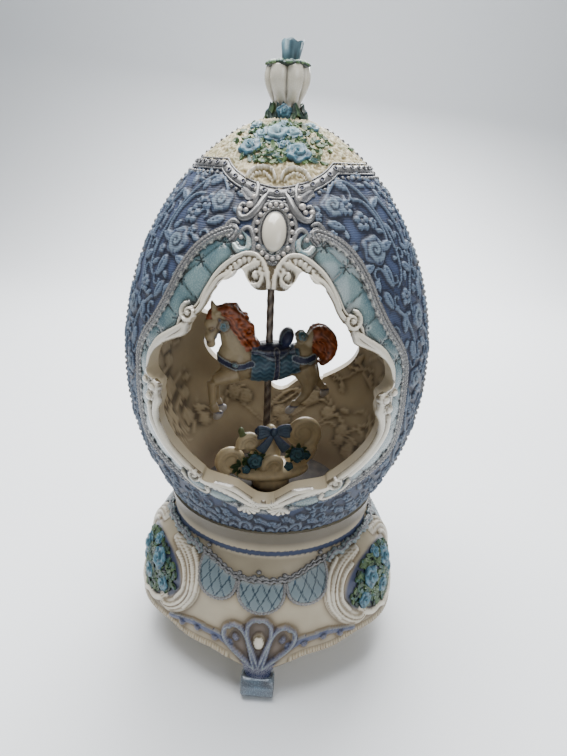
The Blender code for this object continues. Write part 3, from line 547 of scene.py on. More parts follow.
class Skin:
    """A fine surface that takes moulded relief and paint before it is stored."""

    def __init__(self, name: str, places: np.ndarray, faces: np.ndarray, ground: Paint) -> None:
        """Lays out the bare surface.

        Args:
            name: the piece's name.
            places: vertices in millimetres.
            faces: vertex numbers of each face.
            ground: the paint under everything else.
        """
        self.name = name
        self.places = np.asarray(places, float)
        self.faces = faces
        mesh = bpy.data.meshes.new("layout")
        mesh.from_pydata(self.places.tolist(), [], faces.tolist())
        mesh.update()
        normals = np.empty(len(self.places) * 3, np.float32)
        mesh.vertex_normals.foreach_get("vector", normals)
        bpy.data.meshes.remove(mesh)
        self.normals = normals.reshape(-1, 3).astype(float)
        self.rise = np.zeros(len(self.places))
        self.paint = np.tile(ground.light, (len(self.places), 1))
        self.silver = np.zeros(len(self.places))

    def near(self, low: np.ndarray, high: np.ndarray) -> np.ndarray:
        """Numbers of the vertices inside a box."""
        return np.nonzero(((self.places > low) & (self.places < high)).all(axis=1))[0]

    def press(self, index: np.ndarray, level: np.ndarray, paint: Paint | None, silver: float) -> None:
        """Raises vertices to a level and paints those it raises.

        Args:
            index: vertex numbers.
            level: the height for each, in millimetres.
            paint: the colour, or None to keep what is there.
            silver: how much silver wax goes on.
        """
        raised = level > self.rise[index]
        index = index[raised]
        self.rise[index] = level[raised]
        if paint:
            self.paint[index] = paint.light
            self.silver[index] = silver

    def tint(self, share: np.ndarray, paint: Paint, silver: float = 0.0) -> None:
        """Paints over the surface.

        Args:
            share: how much of the paint covers each vertex, from 0 to 1.
            paint: the colour.
            silver: how much silver wax is in it.
        """
        self.paint += (paint.light - self.paint) * share[:, None]
        self.silver += (silver - self.silver) * share

    def ridge(
        self,
        line: np.ndarray,
        half_width: float | np.ndarray,
        rise: float,
        paint: Paint | None = None,
        silver: float = 0.0,
        bed: float = 0.0,
        beat: float = 0.0,
        depth: float = 0.5,
        sunk: bool = False,
    ) -> None:
        """Raises or sinks a rounded line.

        Args:
            line: points on the surface.
            half_width: half its width, one value or one a point.
            rise: its height, or its depth when sunk.
            paint: its colour, or None to keep what is there.
            silver: how much silver wax is on it.
            bed: height that it starts from.
            beat: spacing of ribs along it, or 0 for none.
            depth: share of the height that the ribs cut away.
            sunk: whether it is pressed in.
        """
        widths = np.broadcast_to(np.asarray(half_width, float), (len(line),))
        most = widths.max()
        index = self.near(line.min(axis=0) - most, line.max(axis=0) + most)
        if not len(index):
            return
        here = self.places[index]
        best = np.full(len(index), 9.0)
        along = np.zeros(len(index))
        wide = np.ones(len(index))
        run = 0.0
        for a, b, wa, wb in zip(line[:-1], line[1:], widths[:-1], widths[1:]):
            step = b - a
            length = float(np.linalg.norm(step))
            close = np.nonzero((np.abs(here - (a + b) / 2) < length / 2 + most).all(axis=1))[0]
            if len(close) and length > 1e-6:
                share = np.clip((here[close] - a) @ step / length**2, 0, 1)
                width = wa + (wb - wa) * share
                ratio = np.linalg.norm(here[close] - a - share[:, None] * step, axis=1) / width
                closer = ratio < best[close]
                won = close[closer]
                best[won] = ratio[closer]
                along[won] = run + share[closer] * length
                wide[won] = width[closer] / most
            run += length
        hit = best < 1
        top = rise * np.sqrt(1 - best[hit] ** 2) * np.sqrt(wide[hit])
        if beat:
            top *= 1 - depth * (0.5 - 0.5 * np.cos(2 * math.pi * along[hit] / beat))
        if sunk:
            self.rise[index[hit]] -= top
            if paint:
                share = np.zeros(len(self.rise))
                share[index[hit]] = np.clip(2 * (1 - best[hit]), 0, 1)
                self.tint(share, paint, silver)
        else:
            self.press(index[hit], bed + top, paint, silver)

    def local(self, seat: Seat, reach: float) -> tuple[np.ndarray, np.ndarray, np.ndarray]:
        """Reads the surface round a seat.

        Args:
            seat: the spot.
            reach: how far round it.

        Returns:
            Vertex numbers, and their places across and up from the seat.
        """
        index = self.near(seat.origin - reach, seat.origin + reach)
        away = self.places[index] - seat.origin
        facing = self.normals[index] @ seat.out > 0.2
        index, away = index[facing], away[facing]
        return index, away @ seat.east, away @ seat.north

    def dome(self, seat: Seat, a: float, b: float, rise: float, paint: Paint | None, silver: float = 0.0,
             bed: float = 0.0, spin: float = 0.0) -> None:
        """Raises an oval dome.

        Args:
            seat: its middle.
            a: half its width.
            b: half its height.
            rise: how far it stands.
            paint: its colour.
            silver: how much silver wax is on it.
            bed: height that it starts from.
            spin: turn in degrees.
        """
        index, u, v = self.local(seat, max(a, b) * 1.1)
        turn = math.radians(spin)
        p = (u * math.cos(turn) + v * math.sin(turn)) / a
        q = (-u * math.sin(turn) + v * math.cos(turn)) / b
        reach = p**2 + q**2
        hit = reach < 1
        self.press(index[hit], bed + rise * np.sqrt(1 - reach[hit]), paint, silver)

    def rose(self, seat: Seat, radius: float, rise: float, pale: Paint, bed: float = 0.0, spin: float = 0.0) -> None:
        """Raises a rose in low relief.

        Args:
            seat: its middle.
            radius: its size.
            rise: how far it stands.
            pale: its colour.
            bed: height that it starts from.
            spin: turn in degrees.
        """
        index, u, v = self.local(seat, radius * 1.1)
        shape = rose_height(u / radius, v / radius, math.radians(spin))
        hit = (shape > 0) & (bed + rise * shape > self.rise[index])
        under = self.paint[index].mean(axis=0) if len(index) else 0.0
        index, shape = index[hit], shape[hit]
        self.rise[index] = bed + rise * shape
        lip = np.clip((shape - 0.42) / 0.30, 0, 1)[:, None]
        self.paint[index] = under * (1 - lip) * 0.8 + pale.light * lip

    def leaf(self, seat: Seat, length: float, rise: float, pale: Paint, spin: float, bed: float = 0.0) -> None:
        """Raises a leaf in low relief.

        Args:
            seat: its middle.
            length: from stalk to tip.
            rise: how far it stands.
            pale: its colour.
            spin: the way its tip points, in degrees from east.
            bed: height that it starts from.
        """
        index, u, v = self.local(seat, length * 0.6)
        turn = math.radians(spin)
        along = (u * math.cos(turn) + v * math.sin(turn)) * 2 / length
        across = (-u * math.sin(turn) + v * math.cos(turn)) * 2 / length
        shape = leaf_height(along, across)
        hit = shape > 0
        self.press(index[hit], bed + rise * shape[hit], pale, 0.0)

    def raised(self) -> np.ndarray:
        """Vertices with the relief added."""
        return self.places + self.normals * self.rise[:, None]

    def finish(self, look: bpy.types.Material, slot: str, replaced: str, rounds: int = 8) -> bpy.types.Object:
        """Stores the finished surface."""
        return store(
            self.name, self.raised(), self.faces, self.paint, self.silver, self.rise, look, replaced, rounds
        )


class Heap:
    """Small ornaments, each a closed form, gathered into one painted piece."""

    def __init__(self, name: str) -> None:
        """Starts an empty piece."""
        self.name = name
        self.count = 0
        self.places: list[np.ndarray] = []
        self.faces: list[tuple[int, ...]] = []
        self.paint: list[np.ndarray] = []
        self.silver: list[np.ndarray] = []
        self.relief: list[np.ndarray] = []

    def add(self, places: np.ndarray, faces: Sequence, paint: np.ndarray, silver: float, relief: np.ndarray) -> None:
        """Adds one form.

        Args:
            places: its vertices.
            faces: its faces.
            paint: a linear colour, one for all or one a vertex.
            silver: how much silver wax is on it.
            relief: height of each vertex above the surface that carries it.
        """
        self.faces += [tuple(int(i) + self.count for i in face) for face in faces]
        self.places.append(places)
        self.paint.append(np.broadcast_to(paint, (len(places), 3)))
        self.silver.append(np.full(len(places), silver))
        self.relief.append(relief)
        self.count += len(places)

    def tube(self, line: np.ndarray, radii: float | np.ndarray, ups: np.ndarray, paint: Paint, silver: float = 0.0,
             sides: int = 8, flat: float = 1.0, beat: float = 0.0, depth: float = 0.25, closed: bool = False) -> None:
        """Adds a rounded moulding along a line.

        Args:
            line: its middle line.
            radii: half its width, one value or one a point.
            ups: the surface's outward direction at each point.
            paint: its colour.
            silver: how much silver wax is on it.
            sides: sides of its section.
            flat: its height as a share of its width.
            beat: spacing of ribs along it, or 0 for none.
            depth: share of the radius that ribs cut away.
            closed: whether it returns to its start.
        """
        radii = np.array(np.broadcast_to(np.asarray(radii, float), (len(line),)))
        lengths = np.concatenate([[0], np.cumsum(np.linalg.norm(np.diff(line, axis=0), axis=1))])
        if beat:
            radii *= 1 - depth * (0.5 - 0.5 * np.cos(2 * math.pi * lengths / beat))
        if closed:
            ahead = np.roll(line, -1, axis=0) - np.roll(line, 1, axis=0)
        else:
            ahead = np.gradient(line, axis=0)
            radii[0] *= 0.35
            radii[-1] *= 0.35
        ahead /= np.maximum(np.linalg.norm(ahead, axis=1), 1e-9)[:, None]
        side = np.cross(ahead, ups)
        side /= np.maximum(np.linalg.norm(side, axis=1), 1e-9)[:, None]
        over = np.cross(side, ahead)
        angles = 2 * math.pi * np.arange(sides) / sides
        ring = (
            side[:, None] * (np.cos(angles) * radii[:, None])[:, :, None]
            + over[:, None] * (np.sin(angles) * flat * radii[:, None])[:, :, None]
        )
        places = (line[:, None] + ring).reshape(-1, 3)
        relief = (np.sin(angles)[None] * radii[:, None] * flat).ravel()
        faces = grid_faces(len(line), sides, True).tolist()
        if closed:
            last = (len(line) - 1) * sides
            faces += [(last + i, last + (i + 1) % sides, (i + 1) % sides, i) for i in range(sides)]
        else:
            faces.append(tuple(reversed(range(sides))))
            faces.append(tuple(range(len(line) * sides - sides, len(line) * sides)))
        self.add(places, faces, paint.light, silver, relief)

    def ball(self, seat: Seat, semi: Sequence[float], paint: Paint, silver: float = 0.0, sides: int = 10,
             spin: float = 0.0) -> None:
        """Adds a rounded bead.

        Args:
            seat: its middle and its directions.
            semi: half its width, height and depth.
            paint: its colour.
            silver: how much silver wax is on it.
            sides: sides round it.
            spin: turn about its outward direction, in degrees.
        """
        rings = max(4, sides // 2)
        lean, swing = np.meshgrid(
            math.pi * np.arange(1, rings) / rings, 2 * math.pi * np.arange(sides) / sides, indexing="ij"
        )
        x = np.append((np.sin(lean) * np.cos(swing)).ravel(), [0, 0])
        y = np.append((np.sin(lean) * np.sin(swing)).ravel(), [0, 0])
        z = np.append(np.cos(lean).ravel(), [1, -1])
        turn = math.radians(spin)
        u = (x * semi[0]) * math.cos(turn) - (y * semi[1]) * math.sin(turn)
        v = (x * semi[0]) * math.sin(turn) + (y * semi[1]) * math.cos(turn)
        faces = [tuple(reversed(face)) for face in grid_faces(rings - 1, sides, True).tolist()]
        top, low = len(x) - 2, len(x) - 1
        last = (rings - 2) * sides
        faces += [(top, i, (i + 1) % sides) for i in range(sides)]
        faces += [(low, last + (i + 1) % sides, last + i) for i in range(sides)]
        self.add(seat.at(u, v, z * semi[2]), faces, paint.light, silver, z * semi[2])

    def rose(self, seat: Seat, radius: float, pale: Paint, deep: Paint, spin: float = 0.0, rise: float = 0.8) -> None:
        """Adds a full rose.

        Args:
            seat: where it sits.
            radius: its size.
            pale: colour of its lips.
            deep: colour of its folds.
            spin: turn in degrees.
            rise: its height as a share of its radius.
        """
        rings, sides = 15, 36
        reach, swing = np.meshgrid(
            np.linspace(0.03, 1.0, rings), 2 * math.pi * np.arange(sides) / sides, indexing="ij"
        )
        u, v = (reach * np.cos(swing)).ravel(), (reach * np.sin(swing)).ravel()
        shape = rose_height(u * 0.86, v * 0.86, math.radians(spin))
        wave = 1 + 0.08 * np.cos(5 * swing.ravel() + math.radians(spin)) * reach.ravel()
        skirt = np.linspace(0, 1, 1)
        height = (shape - 0.25) * rise * radius
        low_u, low_v = 0.55 * np.cos(swing[0]), 0.55 * np.sin(swing[0])
        u_all = np.concatenate([u * wave, low_u]) * radius
        v_all = np.concatenate([v * wave, low_v]) * radius
        w_all = np.concatenate([height, np.full(sides, -0.6 * rise * radius) * (1 + 0 * skirt[0])])
        mix = np.concatenate([np.clip((shape - 0.35) / 0.5, 0, 1), np.zeros(sides)])
        paint = deep.light + (pale.light - deep.light) * mix[:, None]
        faces = [tuple(reversed(face)) for face in grid_faces(rings + 1, sides, True).tolist()]
        faces.append(tuple(range(sides)))
        faces.append(tuple(reversed(range(rings * sides, (rings + 1) * sides))))
        self.add(seat.at(u_all, v_all, w_all), faces, paint, 0.0, w_all * 0.6)

    def leaf(self, seat: Seat, length: float, spin: float, pale: Paint, deep: Paint, curl: float = 0.25) -> None:
        """Adds a veined leaf.

        Args:
            seat: its middle.
            length: from stalk to tip.
            spin: the way its tip points, in degrees from east.
            pale: colour of its edges.
            deep: colour of its midrib.
            curl: how far its tip lifts, as a share of its length.
        """
        rows, columns = 8, 5
        along, side = np.meshgrid(np.linspace(-1, 1, rows), np.linspace(-1, 1, columns), indexing="ij")
        half = 0.46 * np.clip(1 - along**2, 0, 1) ** 0.8 * (1 - 0.25 * along) + 0.012
        across = side * half * (1 + 0.08 * np.cos(14 * along))
        height = leaf_height(along * 0.97, side * half * 0.97) * 0.32 + curl * np.clip(along, 0, 1) ** 2
        turn = math.radians(spin)
        u = (along * math.cos(turn) - across * math.sin(turn)) * length / 2
        v = (along * math.sin(turn) + across * math.cos(turn)) * length / 2
        top = seat.at(u.ravel(), v.ravel(), height.ravel() * length / 2)
        low = seat.at(u.ravel(), v.ravel(), (height.ravel() * 0.5 - 0.25) * length / 2)
        faces = [tuple(reversed(face)) for face in grid_faces(rows, columns).tolist()]
        count = rows * columns
        faces += [tuple(count + i for i in reversed(face)) for face in faces]
        rim = [i * columns for i in range(rows)] + [(rows - 1) * columns + i for i in range(1, columns)]
        rim += [i * columns + columns - 1 for i in range(rows - 2, -1, -1)] + list(range(columns - 2, 0, -1))
        faces += [(a, b, b + count, a + count) for a, b in zip(rim, rim[1:] + rim[:1])]
        mix = np.clip(np.abs(side) * 0.7 + 0.3 * height / 0.4, 0, 1).ravel()
        paint = deep.light + (pale.light - deep.light) * np.concatenate([mix, mix])[:, None]
        relief = np.concatenate([height.ravel() * length * 0.12, np.zeros(count)])
        self.add(np.concatenate([top, low]), faces, paint, 0.0, relief)

    def store(self, look: bpy.types.Material, slot: str, replaced: str) -> bpy.types.Object:
        """Stores the gathered forms as one piece."""
        return store(
            self.name, np.concatenate(self.places), self.faces, np.concatenate(self.paint),
            np.concatenate(self.silver), np.concatenate(self.relief), look, replaced, 5,
        )


@dataclass
class Egg:
    """The hollow egg: blue field, quilted band, pearl frame, rope borders, cap and inner wall."""

    radius: float = 47.0
    drop: float = 66.9
    rise: float = 70.7
    drop_power: float = 0.578
    rise_power: float = 0.602
    bottom_z: float = 32.9
    wall: float = 3.6
    floor_z: float = 50.0
    ceiling_z: float = 162.5
    window_half: float = 31.2
    sill_z: float = 71.3
    window_height: float = 63.0
    hub_z: float = 103.0
    cap_edge_z: float = 151.0
    cap_corner_lift: float = 6.6
    pearl_z: float = 142.8
    field_step: float = 0.40

    WINDOW = (
        (0.000, 0.938), (0.060, 0.930), (0.125, 0.932), (0.185, 0.965), (0.212, 0.998),
        (0.272, 1.000), (0.310, 0.955), (0.394, 0.952), (0.480, 0.892), (0.520, 0.845),
        (0.606, 0.792), (0.652, 0.762), (0.662, 0.730), (0.753, 0.710), (0.850, 0.684),
        (0.936, 0.646), (0.990, 0.594), (1.000, 0.542), (0.962, 0.514), (0.898, 0.502),
        (0.905, 0.468), (0.918, 0.456), (0.900, 0.420), (0.948, 0.370), (0.954, 0.322),
        (0.882, 0.246), (0.756, 0.183), (0.604, 0.127), (0.545, 0.110), (0.528, 0.090),
        (0.385, 0.087), (0.256, 0.079), (0.204, 0.062), (0.144, 0.036), (0.077, 0.010),
    )
    FRAME_EDGE = (
        (0.0, 136.2), (3.0, 137.4), (7.0, 138.0), (11.0, 137.6), (14.8, 136.1), (18.5, 134.1), (20.5, 132.2),
        (22.7, 129.3), (24.0, 126.8), (25.0, 124.9), (28.8, 123.4), (31.5, 121.5), (31.4, 119.2), (34.8, 117.0),
        (39.0, 115.3), (42.2, 112.7), (44.4, 110.0), (44.6, 105.0), (44.4, 101.0), (44.5, 96.0), (44.0, 92.0),
        (41.2, 87.9), (37.3, 83.5), (33.3, 80.2), (28.8, 77.9), (23.4, 76.6), (18.5, 76.0), (14.2, 74.9),
        (9.5, 72.6), (5.5, 70.2), (1.4, 68.4), (0.0, 68.1),
    )
    ROPE_EDGE = (
        (0.0, 139.4), (7.0, 140.2), (12.0, 142.6), (17.0, 143.0), (24.0, 141.4), (30.4, 138.0), (35.0, 132.5),
        (37.4, 126.5), (42.0, 119.8), (48.2, 114.1), (51.0, 109.1), (50.6, 102.2), (51.0, 94.0), (51.4, 85.8),
        (48.5, 81.4), (41.5, 77.9), (33.0, 74.4), (22.0, 71.2), (10.0, 67.2), (0.0, 65.4),
    )

    def reach(self, z: np.ndarray | float, outward: float = 0.0) -> np.ndarray:
        """Radius of the egg.

        Args:
            z: heights.
            outward: how far the surface is moved out.

        Returns:
            The radius at each height.
        """
        z = np.asarray(z, float)
        middle = self.bottom_z + self.drop
        above = z > middle
        share = (z - middle) / np.where(above, self.rise + outward, self.drop + outward)
        power = np.where(above, self.rise_power, self.drop_power)
        return (self.radius + outward) * np.clip(1 - share**2, 0, None) ** power

    def on(self, azimuth: np.ndarray | float, z: np.ndarray | float, outward: float = 0.0) -> np.ndarray:
        """Points on the egg, moved outward along its radius."""
        angle = np.radians(azimuth)
        radius = self.reach(z) + outward
        return np.stack([radius * np.sin(angle), -radius * np.cos(angle), np.broadcast_to(z, np.shape(radius * angle))], -1)

    def out(self, azimuth: np.ndarray | float, z: np.ndarray | float) -> np.ndarray:
        """Outward directions of the egg's surface."""
        angle = np.radians(azimuth)
        fall = (self.reach(np.asarray(z) + 0.3) - self.reach(np.asarray(z) - 0.3)) / 0.6
        found = np.stack([np.sin(angle), -np.cos(angle), -fall + 0 * angle], -1)
        return found / np.linalg.norm(found, axis=-1, keepdims=True)

    def seat(self, azimuth: float, z: float, lift: float = 0.0) -> Seat:
        """A seat on the egg."""
        out = self.out(azimuth, z)
        return Seat.facing(self.on(azimuth, z) + out * lift, out)

    def line(self, points: Sequence, step: float, lift: float = 0.0, turn: float = 0.0, closed: bool = False) -> tuple[np.ndarray, np.ndarray]:
        """A rounded line over the egg.

        Args:
            points: azimuth and height of its corners.
            step: spacing wanted, in millimetres.
            lift: how far it floats over the surface.
            turn: degrees that it is turned round the egg.
            closed: whether it returns to its start.

        Returns:
            Its points, and the outward direction at each.
        """
        flat = np.asarray(points, float)
        scale = math.radians(1) * float(np.mean(self.reach(flat[:, 1])))
        run = smooth_line(flat * [scale, 1.0], step, closed) / [scale, 1.0]
        if closed:
            run = run[:-1]
        out = self.out(run[:, 0] + turn, run[:, 1])
        return self.on(run[:, 0] + turn, run[:, 1]) + out * lift, out

    def ring(self, half: Sequence, from_width: bool) -> np.ndarray:
        """A closed outline round the window, in arc length and height about its hub.

        Args:
            half: half of the outline from the top down.
            from_width: whether points are shares of the window instead of azimuth and height.

        Returns:
            The outline, rounded, without repeating its first point.
        """
        points = np.asarray(half, float)
        if from_width:
            points = np.concatenate([points, [[0.0, 0.0]]])
            z = self.sill_z + points[:, 1] * self.window_height
            arc = self.reach(z) * np.arcsin(points[:, 0] * self.window_half / self.reach(z))
        else:
            z = points[:, 1]
            arc = self.reach(z) * np.radians(points[:, 0])
        half_line = np.stack([arc, z - self.hub_z], 1)
        whole = np.concatenate([half_line, half_line[-2:0:-1] * [-1, 1]])
        return smooth_line(whole, 0.15, True, 2)[:-1]

    @staticmethod
    def spoke(outline: np.ndarray, angles: np.ndarray) -> np.ndarray:
        """Distance of an outline from the hub along each spoke."""
        found = np.arctan2(outline[:, 0], outline[:, 1])
        order = np.argsort(found)
        return np.interp(angles, found[order], np.hypot(*outline.T)[order], period=2 * math.pi)

    def patch(self, angles: np.ndarray, rings: np.ndarray, outward: float) -> np.ndarray:
        """Lays rings about the window's hub on the egg.

        Args:
            angles: spoke angles from straight up.
            rings: distance from the hub, rows by spokes.
            outward: how far the surface is moved out.

        Returns:
            Points, rows by spokes by three.
        """
        z = self.hub_z + rings * np.cos(angles)
        azimuth = rings * np.sin(angles) / self.reach(z)
        radius = self.reach(z, outward) if outward else self.reach(z)
        return np.stack([radius * np.sin(azimuth), -radius * np.cos(azimuth), z], -1)


def turned_about(places: np.ndarray, degrees: float) -> np.ndarray:
    """Turns points about the egg's axis."""
    c, s = math.cos(math.radians(degrees)), math.sin(math.radians(degrees))
    return places @ np.array([[c, s, 0], [-s, c, 0], [0, 0, 1.0]])


class Side(Enum):
    """The two windows, by the azimuth of their middle."""

    FRONT = 0.0
    BACK = 180.0


@dataclass
class WindowBorder:
    """Pearl frame, reveal and quilted band round one window, out to the rope outside them."""

    egg: Egg
    side: Side
    looks: dict[str, bpy.types.Material]

    def build(self) -> None:
        """Builds the band and frame, the reveal and the inner wall of this side."""
        egg = self.egg
        window = egg.ring(egg.WINDOW, True)
        step = 0.32 if self.side is Side.FRONT else 0.42
        even = smooth_line(window, step, True, 0)[:-1]
        angles = np.unwrap(np.arctan2(even[:, 0], even[:, 1]))
        angles = np.maximum.accumulate(angles) + np.arange(len(angles)) * 1e-7
        inner = egg.spoke(window, angles)
        frame = np.maximum(egg.spoke(egg.ring(egg.FRAME_EDGE, False), angles), inner + 2.2)
        rope = np.maximum(egg.spoke(egg.ring(egg.ROPE_EDGE, False), angles), frame + 1.0)
        across = np.concatenate([np.linspace(0, 1, 19), 1 + np.linspace(0, 1, 27)[1:]])
        rings = np.where(
            across[:, None] <= 1,
            inner + (frame - inner) * across[:, None],
            frame + (rope - frame) * (across[:, None] - 1),
        )
        places = egg.patch(angles, rings, 0.0)
        rows, columns = rings.shape
        skin = Skin(f"window_border_{self.side.name.lower()}", places.reshape(-1, 3), grid_faces(rows, columns, True), Paint.TURQUOISE)
        self.mould(skin, np.repeat(across, columns), (rings * np.sin(angles)).ravel(), (egg.hub_z + rings * np.cos(angles)).ravel(), (rope - frame))
        raised = skin.raised().reshape(rows, columns, 3)
        skin.places = turned_about(skin.places, self.side.value)
        skin.normals = turned_about(skin.normals, self.side.value)
        skin.finish(self.looks["frame"], "blue_painted_resin", "egg_shell")
        self.reveal(raised[0], angles, inner)

    def mould(self, skin: Skin, across: np.ndarray, arc: np.ndarray, z: np.ndarray, gap: np.ndarray) -> None:
        """Moulds the frame's rolls and volutes and the band's quilting.

        Args:
            skin: the bare border.
            across: 0 at the opening, 1 at the frame's outer edge, 2 at the rope.
            arc: distance round the egg from the window's middle.
            z: height of each vertex.
            gap: width of the quilted band at each spoke.
        """
        egg = self.egg
        on_frame = across <= 1
        t = across[on_frame]
        roll = np.sqrt(np.clip(1 - ((t - 0.30) / 0.30) ** 2, 0, 1))
        lip = np.sqrt(np.clip(1 - ((t - 0.80) / 0.16) ** 2, 0, 1))
        level = np.maximum(0.2 + 1.35 * roll, 0.2 + 0.95 * lip)
        crown = (z[on_frame] > 127.5) & (np.abs(arc[on_frame]) < 9.4)
        level = np.where(crown, 0.2, level)
        skin.rise[on_frame] = level * np.clip((1.04 - t) / 0.10, 0, 1)
        skin.paint[on_frame] = Paint.PEARL_WHITE.light
        band = ~on_frame
        pitch, tilt = 7.6, math.radians(38)
        p = (arc * math.sin(tilt) + (z - 5) * math.cos(tilt)) / pitch
        q = (-arc * math.sin(tilt) + (z - 5) * math.cos(tilt)) / pitch
        puff = (np.abs(np.sin(math.pi * p)) * np.abs(np.sin(math.pi * q))) ** 0.45
        skin.rise[band] = 0.15 + 0.38 * puff[band]
        seam = band & (puff < 0.30)
        skin.paint[seam] = 0.75 * Paint.TURQUOISE.light + 0.25 * Paint.TURQUOISE_DEEP.light
        dp, dq = (p - np.round(p)) * pitch, (q - np.round(q)) * pitch
        east, north = (dp - dq) * 0.5 / math.sin(tilt), (dp + dq) * 0.5 / math.cos(tilt)
        away = np.hypot(east, north)
        arms = np.abs(np.sin(3 * np.arctan2(north, east))) * away < 0.38
        stitch = band & (away < 1.7) & (arms | (away < 0.35))
        skin.tint(np.where(stitch, 0.9, 0.0), Paint.STITCH)
        skin.rise[stitch] -= 0.18
        width = np.tile(gap, len(across) // len(gap))
        outer = band & ((2 - across) * width < 1.5)
        skin.tint(np.where(outer, 0.9, 0.0), Paint.STITCH)
        edge_wash = np.clip(1.6 - (2 - across) * width / 2.6, 0, 1) * band
        skin.tint(0.55 * edge_wash, Paint.TURQUOISE_DEEP)
        drops = (2 - across) * width
        spot = np.cos(2 * math.pi * np.arange(len(gap)) * 0.32 / 1.9)
        scallop = band & (drops < 1.25 + 0.35 * np.tile(spot, len(across) // len(gap)))
        skin.rise[scallop] = 0.75
        skin.tint(np.where(scallop, 0.7, 0.0), Paint.SILVER, 0.4)
        rim = band & ((across - 1) * width < 0.55)
        skin.tint(np.where(rim, 0.6, 0.0), Paint.TURQUOISE_DEEP)
        for way in (-1, 1):
            self.scrolls(skin, way)
            self.rocaille(skin, way)
        wash = np.clip((ripple(skin.places, 9.0, 4) - 0.45) * 1.6, 0, 0.5) * band
        skin.tint(wash, Paint.TURQUOISE_DEEP)
        for way in (-1, 1):
            hook = [(way * a, h) for a, h in ((12.0, 143.0), (9.2, 141.4), (8.8, 138.8), (12.4, 138.0), (14.4, 139.4))]
            line, _ = egg.line(hook, 0.4)
            skin.ridge(line, 0.75, 0.9, Paint.ROSE_PALE, 0.25, bed=0.5)

    def rocaille(self, skin: Skin, way: int) -> None:
        """Raises one half of the shell work below the window.

        Args:
            skin: the border.
            way: -1 for the left half and 1 for the right.
        """
        egg = self.egg
        for azimuth, z, a, b, spin in ((26.0, 74.4, 4.6, 1.9, 24), (17.0, 71.6, 4.2, 1.9, 14)):
            seat = egg.seat(way * azimuth, z)
            skin.dome(seat, a + 0.9, b + 0.8, 0.9, Paint.STITCH, 0.0, 0.3, way * spin)
            skin.dome(seat, a, b, 1.1, Paint.TURQUOISE, 0.0, 0.45, way * spin)
        for lean in (-62, -36, -10, 16, 42):
            angle = math.radians(lean)
            spots = [(way * (6.6 + r * math.sin(angle) * 1.5), 69.4 - r * math.cos(angle)) for r in (0.4, 1.8, 3.2)]
            line, _ = egg.line(spots, 0.3)
            skin.ridge(line, (0.45 + 0.3 * np.linspace(0, 1, len(line))), 0.9, Paint.PEARL_WHITE, 0.0, 0.6)
        curl = [(way * a, h) for a, h in ((31.0, 77.4), (29.6, 75.4), (24.0, 72.4), (20.6, 72.4), (21.4, 74.0))]
        line, _ = egg.line(curl, 0.35)
        skin.ridge(line, 0.6, 0.9, Paint.PEARL_WHITE, 0.0, 0.8)

    def scrolls(self, skin: Skin, way: int) -> None:
        """Raises one half of the frame's scrolls.

        Args:
            skin: the border.
            way: -1 for the left half and 1 for the right.
        """
        egg = self.egg

        def trail(points: Sequence, width: float | np.ndarray, rise: float, bed: float = 0.9, beat: float = 0.0) -> None:
            """Raises one rounded line of the frame."""
            line, _ = egg.line([(way * a, h) for a, h in points], 0.35)
            widths = width if np.isscalar(width) else np.interp(np.linspace(0, 1, len(line)), np.linspace(0, 1, len(width)), width)
            skin.ridge(line, widths, rise, Paint.PEARL_WHITE, 0.0, bed, beat, 0.35)

        def volute(azimuth: float, z: float, size: float, start: float, turns: float, bed: float) -> None:
            """Raises a spiral with a pearl in its eye."""
            count = 26
            share = np.linspace(0, 1, count)
            angle = np.radians(start) + share * turns * 2 * math.pi
            reach = size * (1 - 0.82 * share)
            degree = math.degrees(1) / float(egg.reach(z))
            points = [(way * (azimuth + r * math.cos(a) * degree), z + r * math.sin(a)) for a, r in zip(angle, reach)]
            line = egg.on(np.array([p[0] for p in points]), np.array([p[1] for p in points]))
            skin.ridge(line, 0.22 * size * (1 - 0.40 * share), 1.0, Paint.PEARL_WHITE, 0.0, bed)
            skin.dome(egg.seat(way * azimuth, z), 0.24 * size, 0.24 * size, 1.1, Paint.PEARL_WHITE, 0.0, bed)

        volute(5.3, 132.9, 3.0, 100, -1.25, 0.55)
        trail([(0.9, 130.6), (1.3, 134.0), (4.4, 137.4), (9.0, 138.0), (14.0, 136.2), (18.5, 133.2), (21.0, 129.6), (22.5, 126.0)], (0.5, 0.6, 0.7, 0.6), 1.1, 0.7)
        trail([(2.6, 133.6), (5.4, 136.2), (9.0, 136.6), (13.0, 134.9), (16.6, 132.6)], (0.7, 1.15, 1.0, 0.6), 0.9, 0.6, 1.25)
        trail([(4.6, 135.6), (8.6, 134.7), (10.2, 133.4), (13.6, 132.8), (17.2, 130.2)], (0.7, 0.9, 0.9, 0.8), 1.0, 0.6)
        volute(26.6, 122.9, 2.4, 60, -1.4, 1.2)
        trail([(28.0, 119.8), (33.0, 117.2), (38.0, 114.6), (41.6, 110.6), (42.6, 105.2)], (0.8, 1.2, 0.9), 0.9, 1.0)
        for azimuth, z, size in ((40.6, 105.6, 2.3), (39.4, 101.6, 1.8), (41.4, 98.6, 1.7), (43.0, 103.0, 1.5)):
            skin.dome(egg.seat(way * azimuth, z), size, size * 0.9, 1.5, Paint.PEARL_WHITE, 0.0, 1.0)
            line, _ = egg.line([(way * (azimuth + 0.8 * size * math.cos(t)), z + 0.6 * size * math.sin(t)) for t in np.linspace(0.4, 4.6, 9)], 0.3)
            skin.ridge(line, 0.30, 0.25, Paint.PEARL_SHADE, 0.0, sunk=True)
        trail([(42.8, 95.6), (42.8, 91.4), (39.6, 87.2), (35.2, 83.0), (30.6, 80.0)], (0.9, 1.3, 1.0), 0.9, 1.0)
        volute(25.6, 77.9, 2.0, 200, 1.3, 1.1)
        trail([(22.4, 76.6), (17.6, 75.8), (12.8, 74.6), (8.6, 72.4), (4.6, 70.4)], (1.2, 1.0, 0.8), 0.9, 1.0)
